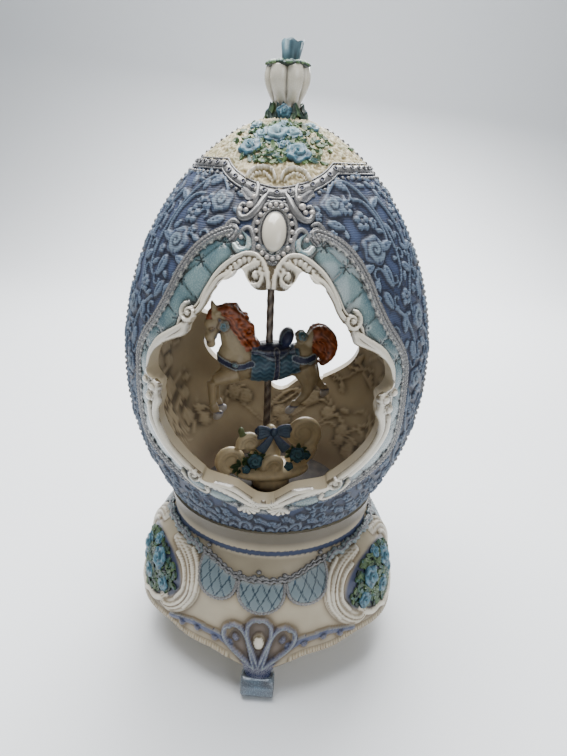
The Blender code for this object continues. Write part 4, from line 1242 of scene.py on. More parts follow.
        trail([(22.0, 75.0), (14.0, 73.6), (7.0, 70.6)], 0.7, 0.6, 0.6, 1.5)
        for azimuth, z, spin in ((2.6, 70.6, 118), (5.0, 71.2, 140)):
            skin.leaf(egg.seat(way * azimuth, z), 4.4, 0.9, Paint.PEARL_WHITE, spin if way > 0 else 180 - spin, 0.8)

    def reveal(self, edge: np.ndarray, angles: np.ndarray, inner: np.ndarray) -> None:
        """Builds the opening's thickness and the inner wall round it.

        Args:
            edge: the frame's inner edge with its relief.
            angles: spoke angles.
            inner: the opening's distance from the hub.
        """
        egg = self.egg
        z = edge[:, 2]
        flat = egg.patch(angles, inner, 0.0)
        x, z = flat[:, 0], flat[:, 2]
        deep = -np.sqrt(np.maximum(egg.reach(z, -egg.wall) ** 2 - x**2, 60.0))
        back = np.stack([x, deep, z], 1)
        share = np.array([0.0, 0.06, 0.14, 0.3, 0.5, 0.7, 0.86, 0.95, 1.0])
        rows = edge[None] + (back - edge)[None] * share[:, None, None]
        count = len(angles)
        faces = grid_faces(len(share), count, True)[:, ::-1]
        skin = Skin(f"window_reveal_{self.side.name.lower()}", turned_about(rows.reshape(-1, 3), self.side.value), faces, Paint.CREAM)
        skin.tint(np.repeat(np.clip((share - 0.55) * 1.6, 0, 0.7), count), Paint.TAUPE)
        skin.finish(self.looks["cream"], "blue_painted_resin", "egg_shell")
        self.inner_wall(angles, inner, back)

    def inner_wall(self, angles: np.ndarray, inner: np.ndarray, edge: np.ndarray) -> None:
        """Builds this side's half of the hollow's wall, with low vines and roses.

        Args:
            angles: spoke angles.
            inner: the opening's distance from the hub; not used.
            edge: the opening's edge on the wall.
        """
        egg = self.egg
        every = 2
        angles, edge = angles[::every], edge[::every]
        azimuth0 = np.arctan2(edge[:, 0], -edge[:, 1])
        arc0, z0 = azimuth0 * egg.radius, edge[:, 2]
        sin, cos = np.sin(angles), np.cos(angles)
        side_reach = (math.pi / 2 * egg.radius + 0.3) / np.maximum(np.abs(sin), 1e-6)
        top_reach = np.where(cos > 0, egg.ceiling_z - egg.hub_z, egg.hub_z - egg.floor_z) / np.maximum(np.abs(cos), 1e-6)
        limit = np.minimum(side_reach, top_reach)
        arc1, z1 = limit * sin, egg.hub_z + limit * cos
        share = np.linspace(0, 1, 64)[:, None]
        azimuth = (arc0 + (arc1 - arc0) * share) / egg.radius
        z = z0 + (z1 - z0) * share
        radius = egg.reach(z, -egg.wall)
        places = np.stack([radius * np.sin(azimuth), -radius * np.cos(azimuth), z], -1)
        places[0] = edge
        rows, columns = share.shape[0], len(angles)
        faces = grid_faces(rows, columns, True)[:, ::-1]
        skin = Skin(f"inner_wall_{self.side.name.lower()}", turned_about(places.reshape(-1, 3), self.side.value), faces, Paint.TAUPE)
        draw = np.random.default_rng(11)
        for _ in range(110):
            a = draw.uniform(-88, 88) + self.side.value
            h = draw.uniform(56, 148)
            spot = egg.on(a, h, -egg.wall)
            seat = Seat.facing(spot, -egg.out(a, h))
            kind = draw.integers(0, 3)
            if kind < 2:
                skin.rose(seat, draw.uniform(2.4, 3.8), 0.38, Paint.TAUPE, spin=draw.uniform(0, 360))
            else:
                skin.leaf(seat, draw.uniform(4.0, 6.0), 0.34, Paint.TAUPE, draw.uniform(0, 360))
            bend = draw.uniform(-1, 1)
            run = [(a + 3 * i, h + 4 * math.sin(i * 0.45 + 3 * bend)) for i in range(9)]
            flat = smooth_line(run, 0.8)
            skin.ridge(egg.on(flat[:, 0], flat[:, 1], -egg.wall), 0.5, 0.26, None)
        # Painted shade, darker towards the floor of the hollow.
        shade = np.clip((64 - skin.places[:, 2]) / 14, 0, 0.75)
        skin.tint(shade, Paint.WASH_AND_SHADE_BROWN)
        skin.finish(self.looks["hollow"], "blue_painted_resin", "egg_shell")


@dataclass
class EggField:
    """The blue field between the ropes and below the cap, with its vines, roses and berries."""

    egg: Egg
    look: bpy.types.Material

    SPRAYS = (
        ("rose", 41.5, 138.7, 4.4, 0), ("rose", 26.0, 149.0, 3.6, 40), ("cluster", 32.5, 148.6, 2.2, 0),
        ("cluster", 39.0, 145.4, 2.6, 0), ("rose", 62.0, 120.5, 3.8, 90), ("cluster", 54.5, 126.6, 2.4, 0),
        ("rose", 58.5, 103.6, 3.4, 10), ("cluster", 60.0, 93.0, 2.5, 0), ("rose", 74.0, 136.0, 3.6, 30),
        ("cluster", 68.0, 147.0, 2.3, 0), ("rose", 77.0, 108.0, 4.0, 70), ("rose", 70.0, 84.0, 3.8, 20),
        ("cluster", 80.0, 95.0, 2.4, 0), ("cluster", 74.0, 122.0, 2.4, 0), ("rose", 57.0, 73.0, 3.2, 50),
        ("cluster", 46.0, 71.0, 2.2, 0), ("cluster", 83.0, 70.0, 2.2, 0), ("rose", 85.0, 151.0, 3.0, 15),
        ("leaf", 25.5, 144.6, 5.0, -20), ("leaf", 46.0, 132.4, 6.4, -70), ("leaf", 49.0, 139.6, 5.6, 15),
        ("leaf", 36.0, 134.4, 5.0, 200), ("leaf", 44.0, 126.6, 5.6, -60), ("leaf", 52.0, 120.0, 5.4, -100),
        ("leaf", 33.0, 153.6, 4.6, 150), ("leaf", 56.0, 112.0, 5.6, -80), ("leaf", 66.0, 112.6, 5.4, -30),
        ("leaf", 67.0, 127.6, 5.4, 60), ("leaf", 55.0, 97.0, 5.0, -110), ("leaf", 64.0, 99.0, 5.4, -20),
        ("leaf", 60.0, 84.0, 5.6, -80), ("leaf", 72.0, 93.0, 5.2, 70), ("leaf", 80.0, 116.0, 5.4, 80),
        ("leaf", 83.0, 102.0, 5.2, -80), ("leaf", 62.0, 77.0, 5.2, -150), ("leaf", 76.0, 76.0, 5.2, 30),
        ("leaf", 79.0, 130.0, 5.2, -60), ("leaf", 68.0, 138.6, 5.0, 190), ("leaf", 80.0, 144.0, 5.0, 70),
        ("leaf", 52.0, 149.6, 5.0, 30), ("leaf", 60.0, 133.6, 5.2, -30), ("leaf", 50.0, 78.0, 5.0, -160),
    )
    VINES = (
        ((24.8, 151.8), (30.0, 154.6), (38.0, 154.6), (46.0, 151.4), (52.0, 145.0), (55.6, 138.0), (54.6, 131.4), (50.6, 129.4)),
        ((38.0, 150.4), (44.0, 150.0), (49.2, 146.4), (51.4, 141.6), (49.0, 138.2), (46.4, 140.4)),
        ((57.0, 150.6), (63.0, 146.0), (66.4, 140.0), (64.0, 134.0), (60.0, 130.6), (57.0, 126.0), (58.4, 120.0)),
        ((47.6, 124.2), (52.6, 121.4), (57.0, 116.4), (58.6, 110.0), (56.2, 106.4), (53.8, 109.6)),
        ((66.0, 126.0), (71.0, 130.4), (77.0, 131.0), (82.0, 127.0), (83.0, 120.4), (79.0, 117.6)),
        ((66.0, 117.0), (72.0, 114.6), (74.0, 108.0), (71.0, 101.6), (66.0, 103.0)),
        ((54.0, 101.0), (54.6, 94.0), (57.4, 88.0), (62.0, 84.6), (66.6, 87.0), (65.0, 91.6)),
        ((53.6, 87.0), (55.0, 80.0), (60.0, 74.6), (67.0, 72.0), (74.0, 73.0), (78.0, 78.6), (75.6, 83.4)),
        ((78.0, 100.0), (83.0, 95.6), (86.0, 88.6), (84.0, 82.0), (79.6, 83.6)),
        ((73.6, 150.0), (78.0, 147.6), (81.0, 142.0), (78.8, 137.8), (75.6, 141.6)),
    )

    def build(self) -> None:
        """Builds the front and back halves of the field."""
        for side in Side:
            self.half(side)

    def half(self, side: Side) -> None:
        """Builds the field of one side.

        Args:
            side: which window it surrounds.
        """
        egg = self.egg
        step = egg.field_step if side is Side.FRONT else egg.field_step * 1.3
        columns = int(math.pi * egg.radius / step)
        z = np.linspace(46.0, 158.6, int(128 / step))
        azimuth = np.linspace(-90.2, 90.2, columns)
        a, h = np.meshgrid(azimuth, z)
        places = egg.on(a, h)
        faces = grid_faces(len(z), columns)
        arc = egg.reach(h) * np.radians(a)
        angle = np.arctan2(arc, h - egg.hub_z)
        inside = np.hypot(arc, h - egg.hub_z) < egg.spoke(egg.ring(egg.ROPE_EDGE, False), angle.ravel()).reshape(a.shape) - 0.3
        above = h > self.cap_z(a) + 0.4
        gone = (inside | above).ravel()
        faces = faces[~gone[faces].any(axis=1)]
        used = np.unique(faces)
        number = np.full(len(gone), -1)
        number[used] = np.arange(len(used))
        skin = Skin(f"blue_field_{side.name.lower()}", places.reshape(-1, 3)[used], number[faces], Paint.PERIWINKLE)
        self.decorate(skin)
        skin.places = turned_about(skin.places, side.value)
        skin.normals = turned_about(skin.normals, side.value)
        skin.finish(self.look, "blue_painted_resin", "egg_shell")

    def cap_z(self, azimuth: np.ndarray) -> np.ndarray:
        """Height of the cap's edge."""
        share = np.clip(np.abs((np.asarray(azimuth) + 90.0) % 180.0 - 90.0) / 35.0, 0, 1)
        return self.egg.cap_edge_z + 0.4 + (self.egg.cap_corner_lift - 0.6) * share**1.6

    def decorate(self, skin: Skin) -> None:
        """Raises vines, roses, berries and leaves over the field, and lace round its foot.

        Args:
            skin: the bare field.
        """
        egg = self.egg
        skin.rise += 0.10 * ripple(skin.places, 6.0, 2)
        for way in (-1, 1):
            for vine in self.VINES:
                line, _ = egg.line([(way * a, h) for a, h in vine], 0.5)
                skin.ridge(line, np.linspace(0.48, 0.28, len(line)), 0.7, Paint.RELIEF_BLUE)
            for kind, azimuth, z, size, spin in self.SPRAYS:
                seat = egg.seat(way * azimuth, z)
                if kind == "rose":
                    skin.rose(seat, size, 1.05, Paint.DRY_BLUE, 0.1, spin)
                elif kind == "leaf":
                    skin.leaf(seat, size, 0.7, Paint.RELIEF_BLUE, spin if way > 0 else 180 - spin, 0.1)
                else:
                    self.cluster(skin, way * azimuth, z, size)
        self.strew(skin)
        for i in range(28):
            azimuth = -81 + 6 * i
            low = 52.5 + 2.0 * math.sin(i * 1.7)
            fan = [(azimuth - 3.4, low + 1.5), (azimuth - 2.0, low + 5.4), (azimuth + 1.4, low + 6.0), (azimuth + 3.0, low + 2.4), (azimuth + 0.4, low + 1.4)]
            line, _ = egg.line(fan, 0.45)
            skin.ridge(line, 0.6, 0.8, Paint.LILAC_GREY)
            self.cluster(skin, azimuth + 0.4, low + 9.6, 1.5)
            skin.leaf(egg.seat(azimuth + 3.0, low + 8.6), 3.8, 0.6, Paint.LILAC_GREY, 60 + 60 * (i % 2), 0.1)
            skin.rose(egg.seat(azimuth, low + 2.6), 1.9, 0.8, Paint.LILAC_GREY, 0.1, 25 * i)
        # Painted shade: the field darkens towards the bottom of the egg.
        low = np.clip((126 - skin.places[:, 2]) / 46, 0, 1)
        skin.tint(low * 0.55, Paint.PERIWINKLE_DEEP)

    def strew(self, skin: Skin) -> None:
        """Fills bare spots with small leaves, buds and curls.

        Args:
            skin: the field.
        """
        egg = self.egg
        draw = np.random.default_rng(5)
        for _ in range(1500):
            azimuth, z = draw.uniform(16, 89) * draw.choice((-1, 1)), draw.uniform(62, 156)
            seat = egg.seat(azimuth, z)
            index = skin.near(seat.origin - 0.9, seat.origin + 0.9)
            if len(index) < 8 or skin.rise[index].max() > 0.45:
                continue
            kind = draw.integers(0, 4)
            if kind < 2:
                skin.leaf(seat, draw.uniform(2.2, 3.6), 0.55, Paint.RELIEF_BLUE, draw.uniform(0, 360), 0.1)
            elif kind == 2:
                self.cluster(skin, azimuth, z, draw.uniform(1.1, 1.5))
            else:
                way, size = draw.choice((-1, 1)), draw.uniform(1.6, 2.4)
                turn = draw.uniform(0, 6.3) + np.linspace(0, 4.4, 12) * way
                reach = size * np.linspace(1, 0.25, 12)
                around = azimuth + reach * np.cos(turn) * math.degrees(1) / float(egg.reach(z))
                skin.ridge(egg.on(around, z + reach * np.sin(turn)), 0.28, 0.55, Paint.RELIEF_BLUE)

    def cluster(self, skin: Skin, azimuth: float, z: float, size: float) -> None:
        """Raises a small five-petalled floret.

        Args:
            skin: the field.
            azimuth: its azimuth.
            z: its height.
            size: its radius.
        """
        degree = math.degrees(1) / float(self.egg.reach(z))
        for i in range(5):
            turn = 2 * math.pi * i / 5 + 0.3
            seat = self.egg.seat(azimuth + size * 0.58 * math.cos(turn) * degree, z + size * 0.58 * math.sin(turn))
            skin.dome(seat, size * 0.38, size * 0.38, 0.75, Paint.RELIEF_BLUE, 0.0, 0.1)
        skin.dome(self.egg.seat(azimuth, z), size * 0.26, size * 0.26, 0.9, Paint.LILAC_GREY, 0.0, 0.1)


@dataclass
class EggTrim:
    """Rope borders, crest scrolls, bead strings, cap edge and pearl setting on the egg."""

    egg: Egg
    field: EggField
    looks: dict[str, bpy.types.Material]

    # Height and azimuth of the bead strings that part the front of the egg from its back.
    STRING = ((60.0, 57.0), (72.0, 65.0), (80.0, 68.5), (90.0, 72.0), (100.0, 74.5), (120.0, 78.5), (140.0, 81.5), (167.0, 82.5))

    def build(self) -> None:
        """Builds the trim."""
        ropes, crest, cap = Heap("rope_borders"), Heap("crest_scrolls"), Heap("cap_edge_beads")
        for side in Side:
            self.rope(ropes, side)
            self.crest(crest, side)
        self.cap_edge(cap)
        for heap in (ropes, crest, cap):
            heap.store(self.looks["silver"], "blue_painted_resin", "egg_shell")

    def rope(self, heap: Heap, side: Side) -> None:
        """Adds a rope of paired beads between two fine wires.

        Args:
            heap: where it goes.
            side: which window it surrounds.
        """
        egg = self.egg
        bead = 1.05
        for way in (-1, 1):
            curl = ((17.4, 140.6), (15.6, 141.4), (15.4, 143.4))
            points = [(way * a, h) for a, h in curl + egg.ROPE_EDGE[4:18]]
            self.strand(heap, *egg.line(points, bead / 5, 0.35, side.value), bead)

    def strand(self, heap: Heap, line: np.ndarray, out: np.ndarray, bead: float) -> None:
        """Adds one length of rope.

        Args:
            heap: where it goes.
            line: its middle line, five points a bead.
            out: outward direction at each point.
            bead: spacing of its beads.
        """
        ahead = np.gradient(line, axis=0)
        ahead /= np.linalg.norm(ahead, axis=1)[:, None]
        across = np.cross(ahead, out)
        run = np.arange(len(line)) * bead / 5
        for shift, phase, radius, silver in ((0.48, 0.0, 0.50, 0.35), (-0.48, 0.5, 0.50, 0.35)):
            beat = 0.62 + 0.38 * np.abs(np.cos(math.pi * (run / bead + phase)))
            heap.tube(line + across * shift + out * 0.25, radius * beat, out, Paint.SILVER, silver, 6, 1.1)
        for shift in (1.15, -1.15):
            heap.tube(line[::3] + across[::3] * shift, 0.34, out[::3], Paint.SILVER, 0.6, 5, 1.0)
        heap.tube(line[::3], 1.3, out[::3], Paint.SILVER_SHADE, 0.2, 6, 0.35)

    def crest(self, heap: Heap, side: Side) -> None:
        """Adds the scrolls, jewelled leaves and beads round the set pearl.

        Args:
            heap: where they go.
            side: which window they stand over.
        """
        egg, z0 = self.egg, self.egg.pearl_z
        for way in (-1, 1):
            forms = (
                (((3.6, 9.2), (5.4, 7.6), (7.6, 5.0), (11.0, 2.8), (14.6, 2.6), (16.4, 4.6), (14.8, 6.2), (13.2, 5.2)), (0.5, 1.1, 1.3, 1.2, 1.0, 0.8, 0.5), 0.75),
                (((14.0, 1.4), (17.4, 2.4), (19.8, 0.6), (20.6, -1.8)), (0.4, 0.8, 0.8, 0.5), 0.6),
                (((10.4, 5.0), (8.8, 8.0), (9.6, 10.6), (11.6, 10.8)), (0.5, 0.9, 0.9, 0.6), 0.7),
                (((8.2, -7.4), (7.0, -4.0), (7.6, -1.0), (9.8, 1.0), (12.6, 0.2), (13.2, -1.8)), (0.5, 0.8, 0.9, 0.8, 0.6), 0.35),
            )
            for points, widths, silver in forms:
                line, out = egg.line([(way * a, z0 + h) for a, h in points], 0.4, 0.35, side.value)
                radii = np.interp(np.linspace(0, 1, len(line)), np.linspace(0, 1, len(widths)), widths)
                heap.tube(line, radii * 0.85, out, Paint.SILVER, silver, 10, 0.85)
            for azimuth, h, size in (
                (11.4, 5.6, 1.0), (10.2, 7.4, 0.8), (12.6, 4.4, 0.7), (10.4, 9.2, 0.6), (15.4, 4.4, 0.8), (5.2, 9.0, 0.5),
                (12.4, -1.6, 0.6), (7.6, -6.8, 0.6),
            ):
                seat = egg.seat(way * azimuth + side.value, z0 + h, 0.6)
                heap.ball(seat, (size, size, size * 0.8), Paint.HOOF, 0.4, 10)
            heap.leaf(egg.seat(way * 13.8 + side.value, z0 + 8.2, 0.2), 5.4, 90 - way * 50, Paint.SILVER, Paint.SILVER_SHADE, 0.0)
        count = 20
        for i in range(count):
            angle = 2 * math.pi * i / count
            z = z0 + 6.35 * math.cos(angle) * 0.93
            aside = math.degrees(4.3 * math.sin(angle) / float(egg.reach(z)))
            heap.ball(egg.seat(aside + side.value, z, 0.7), (0.64, 0.64, 0.64), Paint.HOOF, 0.45, 10)
        ring = []
        for i in range(36):
            angle = 2 * math.pi * i / 36
            z = z0 + 7.3 * math.cos(angle) * 0.93
            ring.append((math.degrees(5.3 * math.sin(angle) / float(egg.reach(z))), z))
        line, out = egg.line(ring, 0.5, 0.1, side.value, True)
        heap.tube(line, 0.6, out, Paint.SILVER, 0.5, 8, 0.8, closed=True)
        bed = egg.seat(side.value, z0, -0.6)
        heap.ball(bed, (5.2, 6.9, 1.0), Paint.SILVER_SHADE, 0.3, 20)
        inner = [(a * 0.70, z0 + (z - z0) * 0.79) for a, z in ring]
        line, out = egg.line(inner, 0.5, 0.25, side.value, True)
        heap.tube(line, 0.5, out, Paint.SILVER, 0.7, 8, 0.9, closed=True)
        if side is Side.BACK:
            heap.ball(egg.seat(side.value, z0, 0.2), (2.9, 5.0, 1.9), Paint.SILVER, 0.7, 20)

    def cap_edge(self, heap: Heap) -> None:
        """Adds the punched ribbon, the bead fringe and the two bead strings.

        Args:
            heap: where they go.
        """
        egg = self.egg
        count = 720
        azimuth = 360.0 * np.arange(count) / count
        z = self.field.cap_z(azimuth)
        out = egg.out(azimuth, z)
        heap.tube(egg.on(azimuth, z) + out * 0.2, 1.25, out, Paint.SILVER, 0.5, 8, 0.5, closed=True)
        for lift in (1.2, -1.2):
            edge = z + lift
            away = egg.out(azimuth, edge)
            heap.tube(egg.on(azimuth, edge) + away * 0.35, 0.30, away, Paint.SILVER, 0.6, 6, 1.0, closed=True)
        spots = smooth_line(np.concatenate([egg.on(azimuth, z), egg.on(azimuth[:1], z[:1])]), 3.1, False, 0)[:-1]
        for spot in spots:
            a = math.degrees(math.atan2(spot[0], -spot[1]))
            seat = egg.seat(a, spot[2], 0.95)
            turn = 2 * math.pi * np.arange(10) / 10
            ring = seat.at(0.62 * np.cos(turn), 0.62 * np.sin(turn), 0 * turn)
            heap.tube(ring, 0.2, np.tile(seat.out, (10, 1)), Paint.SILVER, 0.5, 5, 1.0, closed=True)
            heap.ball(egg.seat(a, spot[2], 0.72), (0.46, 0.46, 0.2), Paint.VIOLET_DEEP, 0.0, 8)
        fringe = smooth_line(np.concatenate([egg.on(azimuth, z - 2.1), egg.on(azimuth[:1], z[:1] - 2.1)]), 1.9, False, 0)[:-1]
        for spot in fringe:
            a = math.degrees(math.atan2(spot[0], -spot[1]))
            heap.ball(egg.seat(a, spot[2], 0.2), (0.62, 0.55, 0.55), Paint.SILVER, 0.35, 8)
        for way in (-1, 1):
            heights = np.linspace(72.0, 167.0, 600)
            side_line = way * np.interp(heights, *np.array(self.STRING).T)
            for spot in smooth_line(egg.on(side_line, heights), 1.75, False, 0):
                around = math.degrees(math.atan2(spot[0], -spot[1]))
                heap.ball(egg.seat(around, float(spot[2]), 0.2), (0.84, 0.84, 0.84), Paint.SILVER, 0.6, 8)
            for shift, radius, dark in ((-1.5, 0.4, Paint.SILVER), (1.5, 0.4, Paint.SILVER), (0.0, 0.7, Paint.SILVER_SHADE)):
                aside, high = side_line[::4] + shift, heights[::4]
                heap.tube(egg.on(aside, high), radius, egg.out(aside, high), dark, 0.4, 6, 0.8)


@dataclass
class Cap:
    """The cream cap with its lace, C-loops, roses, buds and leaves."""

    egg: Egg
    field: EggField
    looks: dict[str, bpy.types.Material]

    def build(self) -> None:
        """Builds the cap and its flowers."""
        egg = self.egg
        columns, rows = 560, 84
        azimuth = 360.0 * np.arange(columns) / columns
        top = egg.bottom_z + egg.drop + egg.rise - 0.15
        share = np.sin(np.linspace(0, math.pi / 2, rows))[:, None] ** 1.1
        z = self.field.cap_z(azimuth) + (top - self.field.cap_z(azimuth)) * share
        places = egg.on(np.broadcast_to(azimuth, z.shape), z)
        skin = Skin("cream_cap", places.reshape(-1, 3), grid_faces(rows, columns, True), Paint.CAP_CREAM)
        weave = ripple(skin.places, 2.6, 21)
        strands = np.abs(ripple(skin.places, 1.9, 22) - 0.5) * 2
        skin.rise += 0.45 * np.clip(1 - 3.2 * strands, 0, 1) + 0.30 * weave
        green = np.clip((ripple(skin.places, 5.0, 23) - 0.40) * 2.2, 0, 1)
        height = np.clip((skin.places[:, 2] - 155.5) / 8, 0, 1)
        front = np.clip(np.abs(skin.places[:, 1]) / 20, 0, 1)
        skin.tint(0.80 * green * height * (0.3 + 0.7 * front), Paint.MOSS)
        for side in Side:
            for way in (-1, 1):
                for loop, width, rise in (
                    (((1.5, 154.6), (2.6, 155.9), (5.8, 156.8), (9.4, 156.9), (13.0, 156.5), (15.4, 155.6), (16.4, 154.5)), 0.30, 1.25),
                    (((3.4, 154.3), (6.2, 155.6), (9.4, 155.9), (12.4, 155.4), (14.4, 154.3)), 0.17, 0.8),
                ):
                    line, _ = egg.line([(way * a + side.value, h) for a, h in loop], 0.3)
                    skin.ridge(line, width, rise, Paint.PEARL_LIGHT, 0.0, 0.55)
        skin.finish(self.looks["cap"], "blue_painted_resin", "egg_shell")
        flowers = Heap("cap_flowers")
        for side in Side:
            self.posy(flowers, side.value, 3 if side is Side.FRONT else 8)
        flowers.store(self.looks["flower"], "blue_painted_resin", "egg_shell")

    def posy(self, heap: Heap, turn: float, seed: int) -> None:
        """Adds one side's roses, buds and leaves.

        Args:
            heap: where they go.
            turn: azimuth of the side.
            seed: picks how the small leaves are strewn.
        """
        egg = self.egg
        draw = np.random.default_rng(seed)
        roses = (
            (-23.5, 161.5, 3.1, Paint.ROSE_BLUE), (11.5, 160.5, 3.4, Paint.ROSE_BLUE), (-6.0, 164.9, 3.7, Paint.ROSE_PALE),
            (-38.0, 167.0, 1.9, Paint.ROSE_PALE), (40.0, 167.0, 2.1, Paint.ROSE_PALE), (10.0, 165.2, 2.6, Paint.ROSE_PALE),
            (-20.0, 164.6, 2.2, Paint.ROSE_PALE), (1.2, 167.3, 2.0, Paint.ROSE_PALE), (2.0, 162.4, 1.8, Paint.ROSE_BLUE),
        )
        for azimuth, z, size, pale in roses:
            heap.rose(egg.seat(azimuth + turn, z, 0.5), size, pale, Paint.ROSE_DEEP, draw.uniform(0, 360), 0.7)
        blends = ((Paint.LEAF, Paint.LEAF_DEEP), (Paint.MOSS, Paint.LEAF), (Paint.LEAF, Paint.LEAF_DEEP), (Paint.LEAF, Paint.ROSE_DEEP))
        for i in range(300):
            azimuth = draw.normal(0, 22)
            z = draw.uniform(158.4, 168.0)
            if abs(azimuth) > 30 and z < 161.5:
                continue
            pale, deep = blends[i % 4]
            seat = egg.seat(azimuth + turn, z, 0.45)
            seat = Seat.facing(seat.origin, seat.out + draw.normal(0, 0.32, 3))
            heap.leaf(seat, draw.uniform(1.8, 2.8), draw.uniform(0, 360), pale, deep, 0.3)


@dataclass
class Interior:
    """Floor and roof of the egg's hollow."""

    egg: Egg
    look: bpy.types.Material

    def build(self) -> None:
        """Builds the two discs that close the hollow."""
        egg = self.egg
        # The hollow's floor is painted near black for the shade it lies in.
        for name, z, flip, ground in (("hollow_floor", egg.floor_z, False, Paint.HOLLOW_FLOOR_SHADE), ("hollow_roof", egg.ceiling_z, True, Paint.TAUPE)):
            reach = float(egg.reach(z, -egg.wall)) + 0.3
            rings, sides = 44, 120
            share, swing = np.meshgrid(np.linspace(0.004, 1, rings), 2 * math.pi * np.arange(sides) / sides, indexing="ij")
            places = np.stack([reach * share * np.cos(swing), reach * share * np.sin(swing), np.full(share.shape, z)], -1)
            faces = grid_faces(rings, sides, True)
            faces = faces if flip else faces[:, ::-1]
            skin = Skin(name, places.reshape(-1, 3), faces, ground)
            skin.rise += 0.18 * ripple(skin.places, 4.0, 31)
            skin.finish(self.look, "blue_painted_resin", "egg_shell")


@dataclass
class PearlSetting:
    """The oval imitation pearl."""

    egg: Egg
    look: bpy.types.Material
    half_width: float = 2.95
    half_height: float = 5.0
    half_depth: float = 2.2

    def build(self) -> None:
        """Builds the cabochon."""
        heap = Heap("set_pearl")
        heap.ball(self.egg.seat(0.0, self.egg.pearl_z, 0.5), (self.half_width, self.half_height, self.half_depth), Paint.PEARL_WHITE, 0.0, 40)
        heap.store(self.look, "imitation_pearl", "pearl_cabochon")


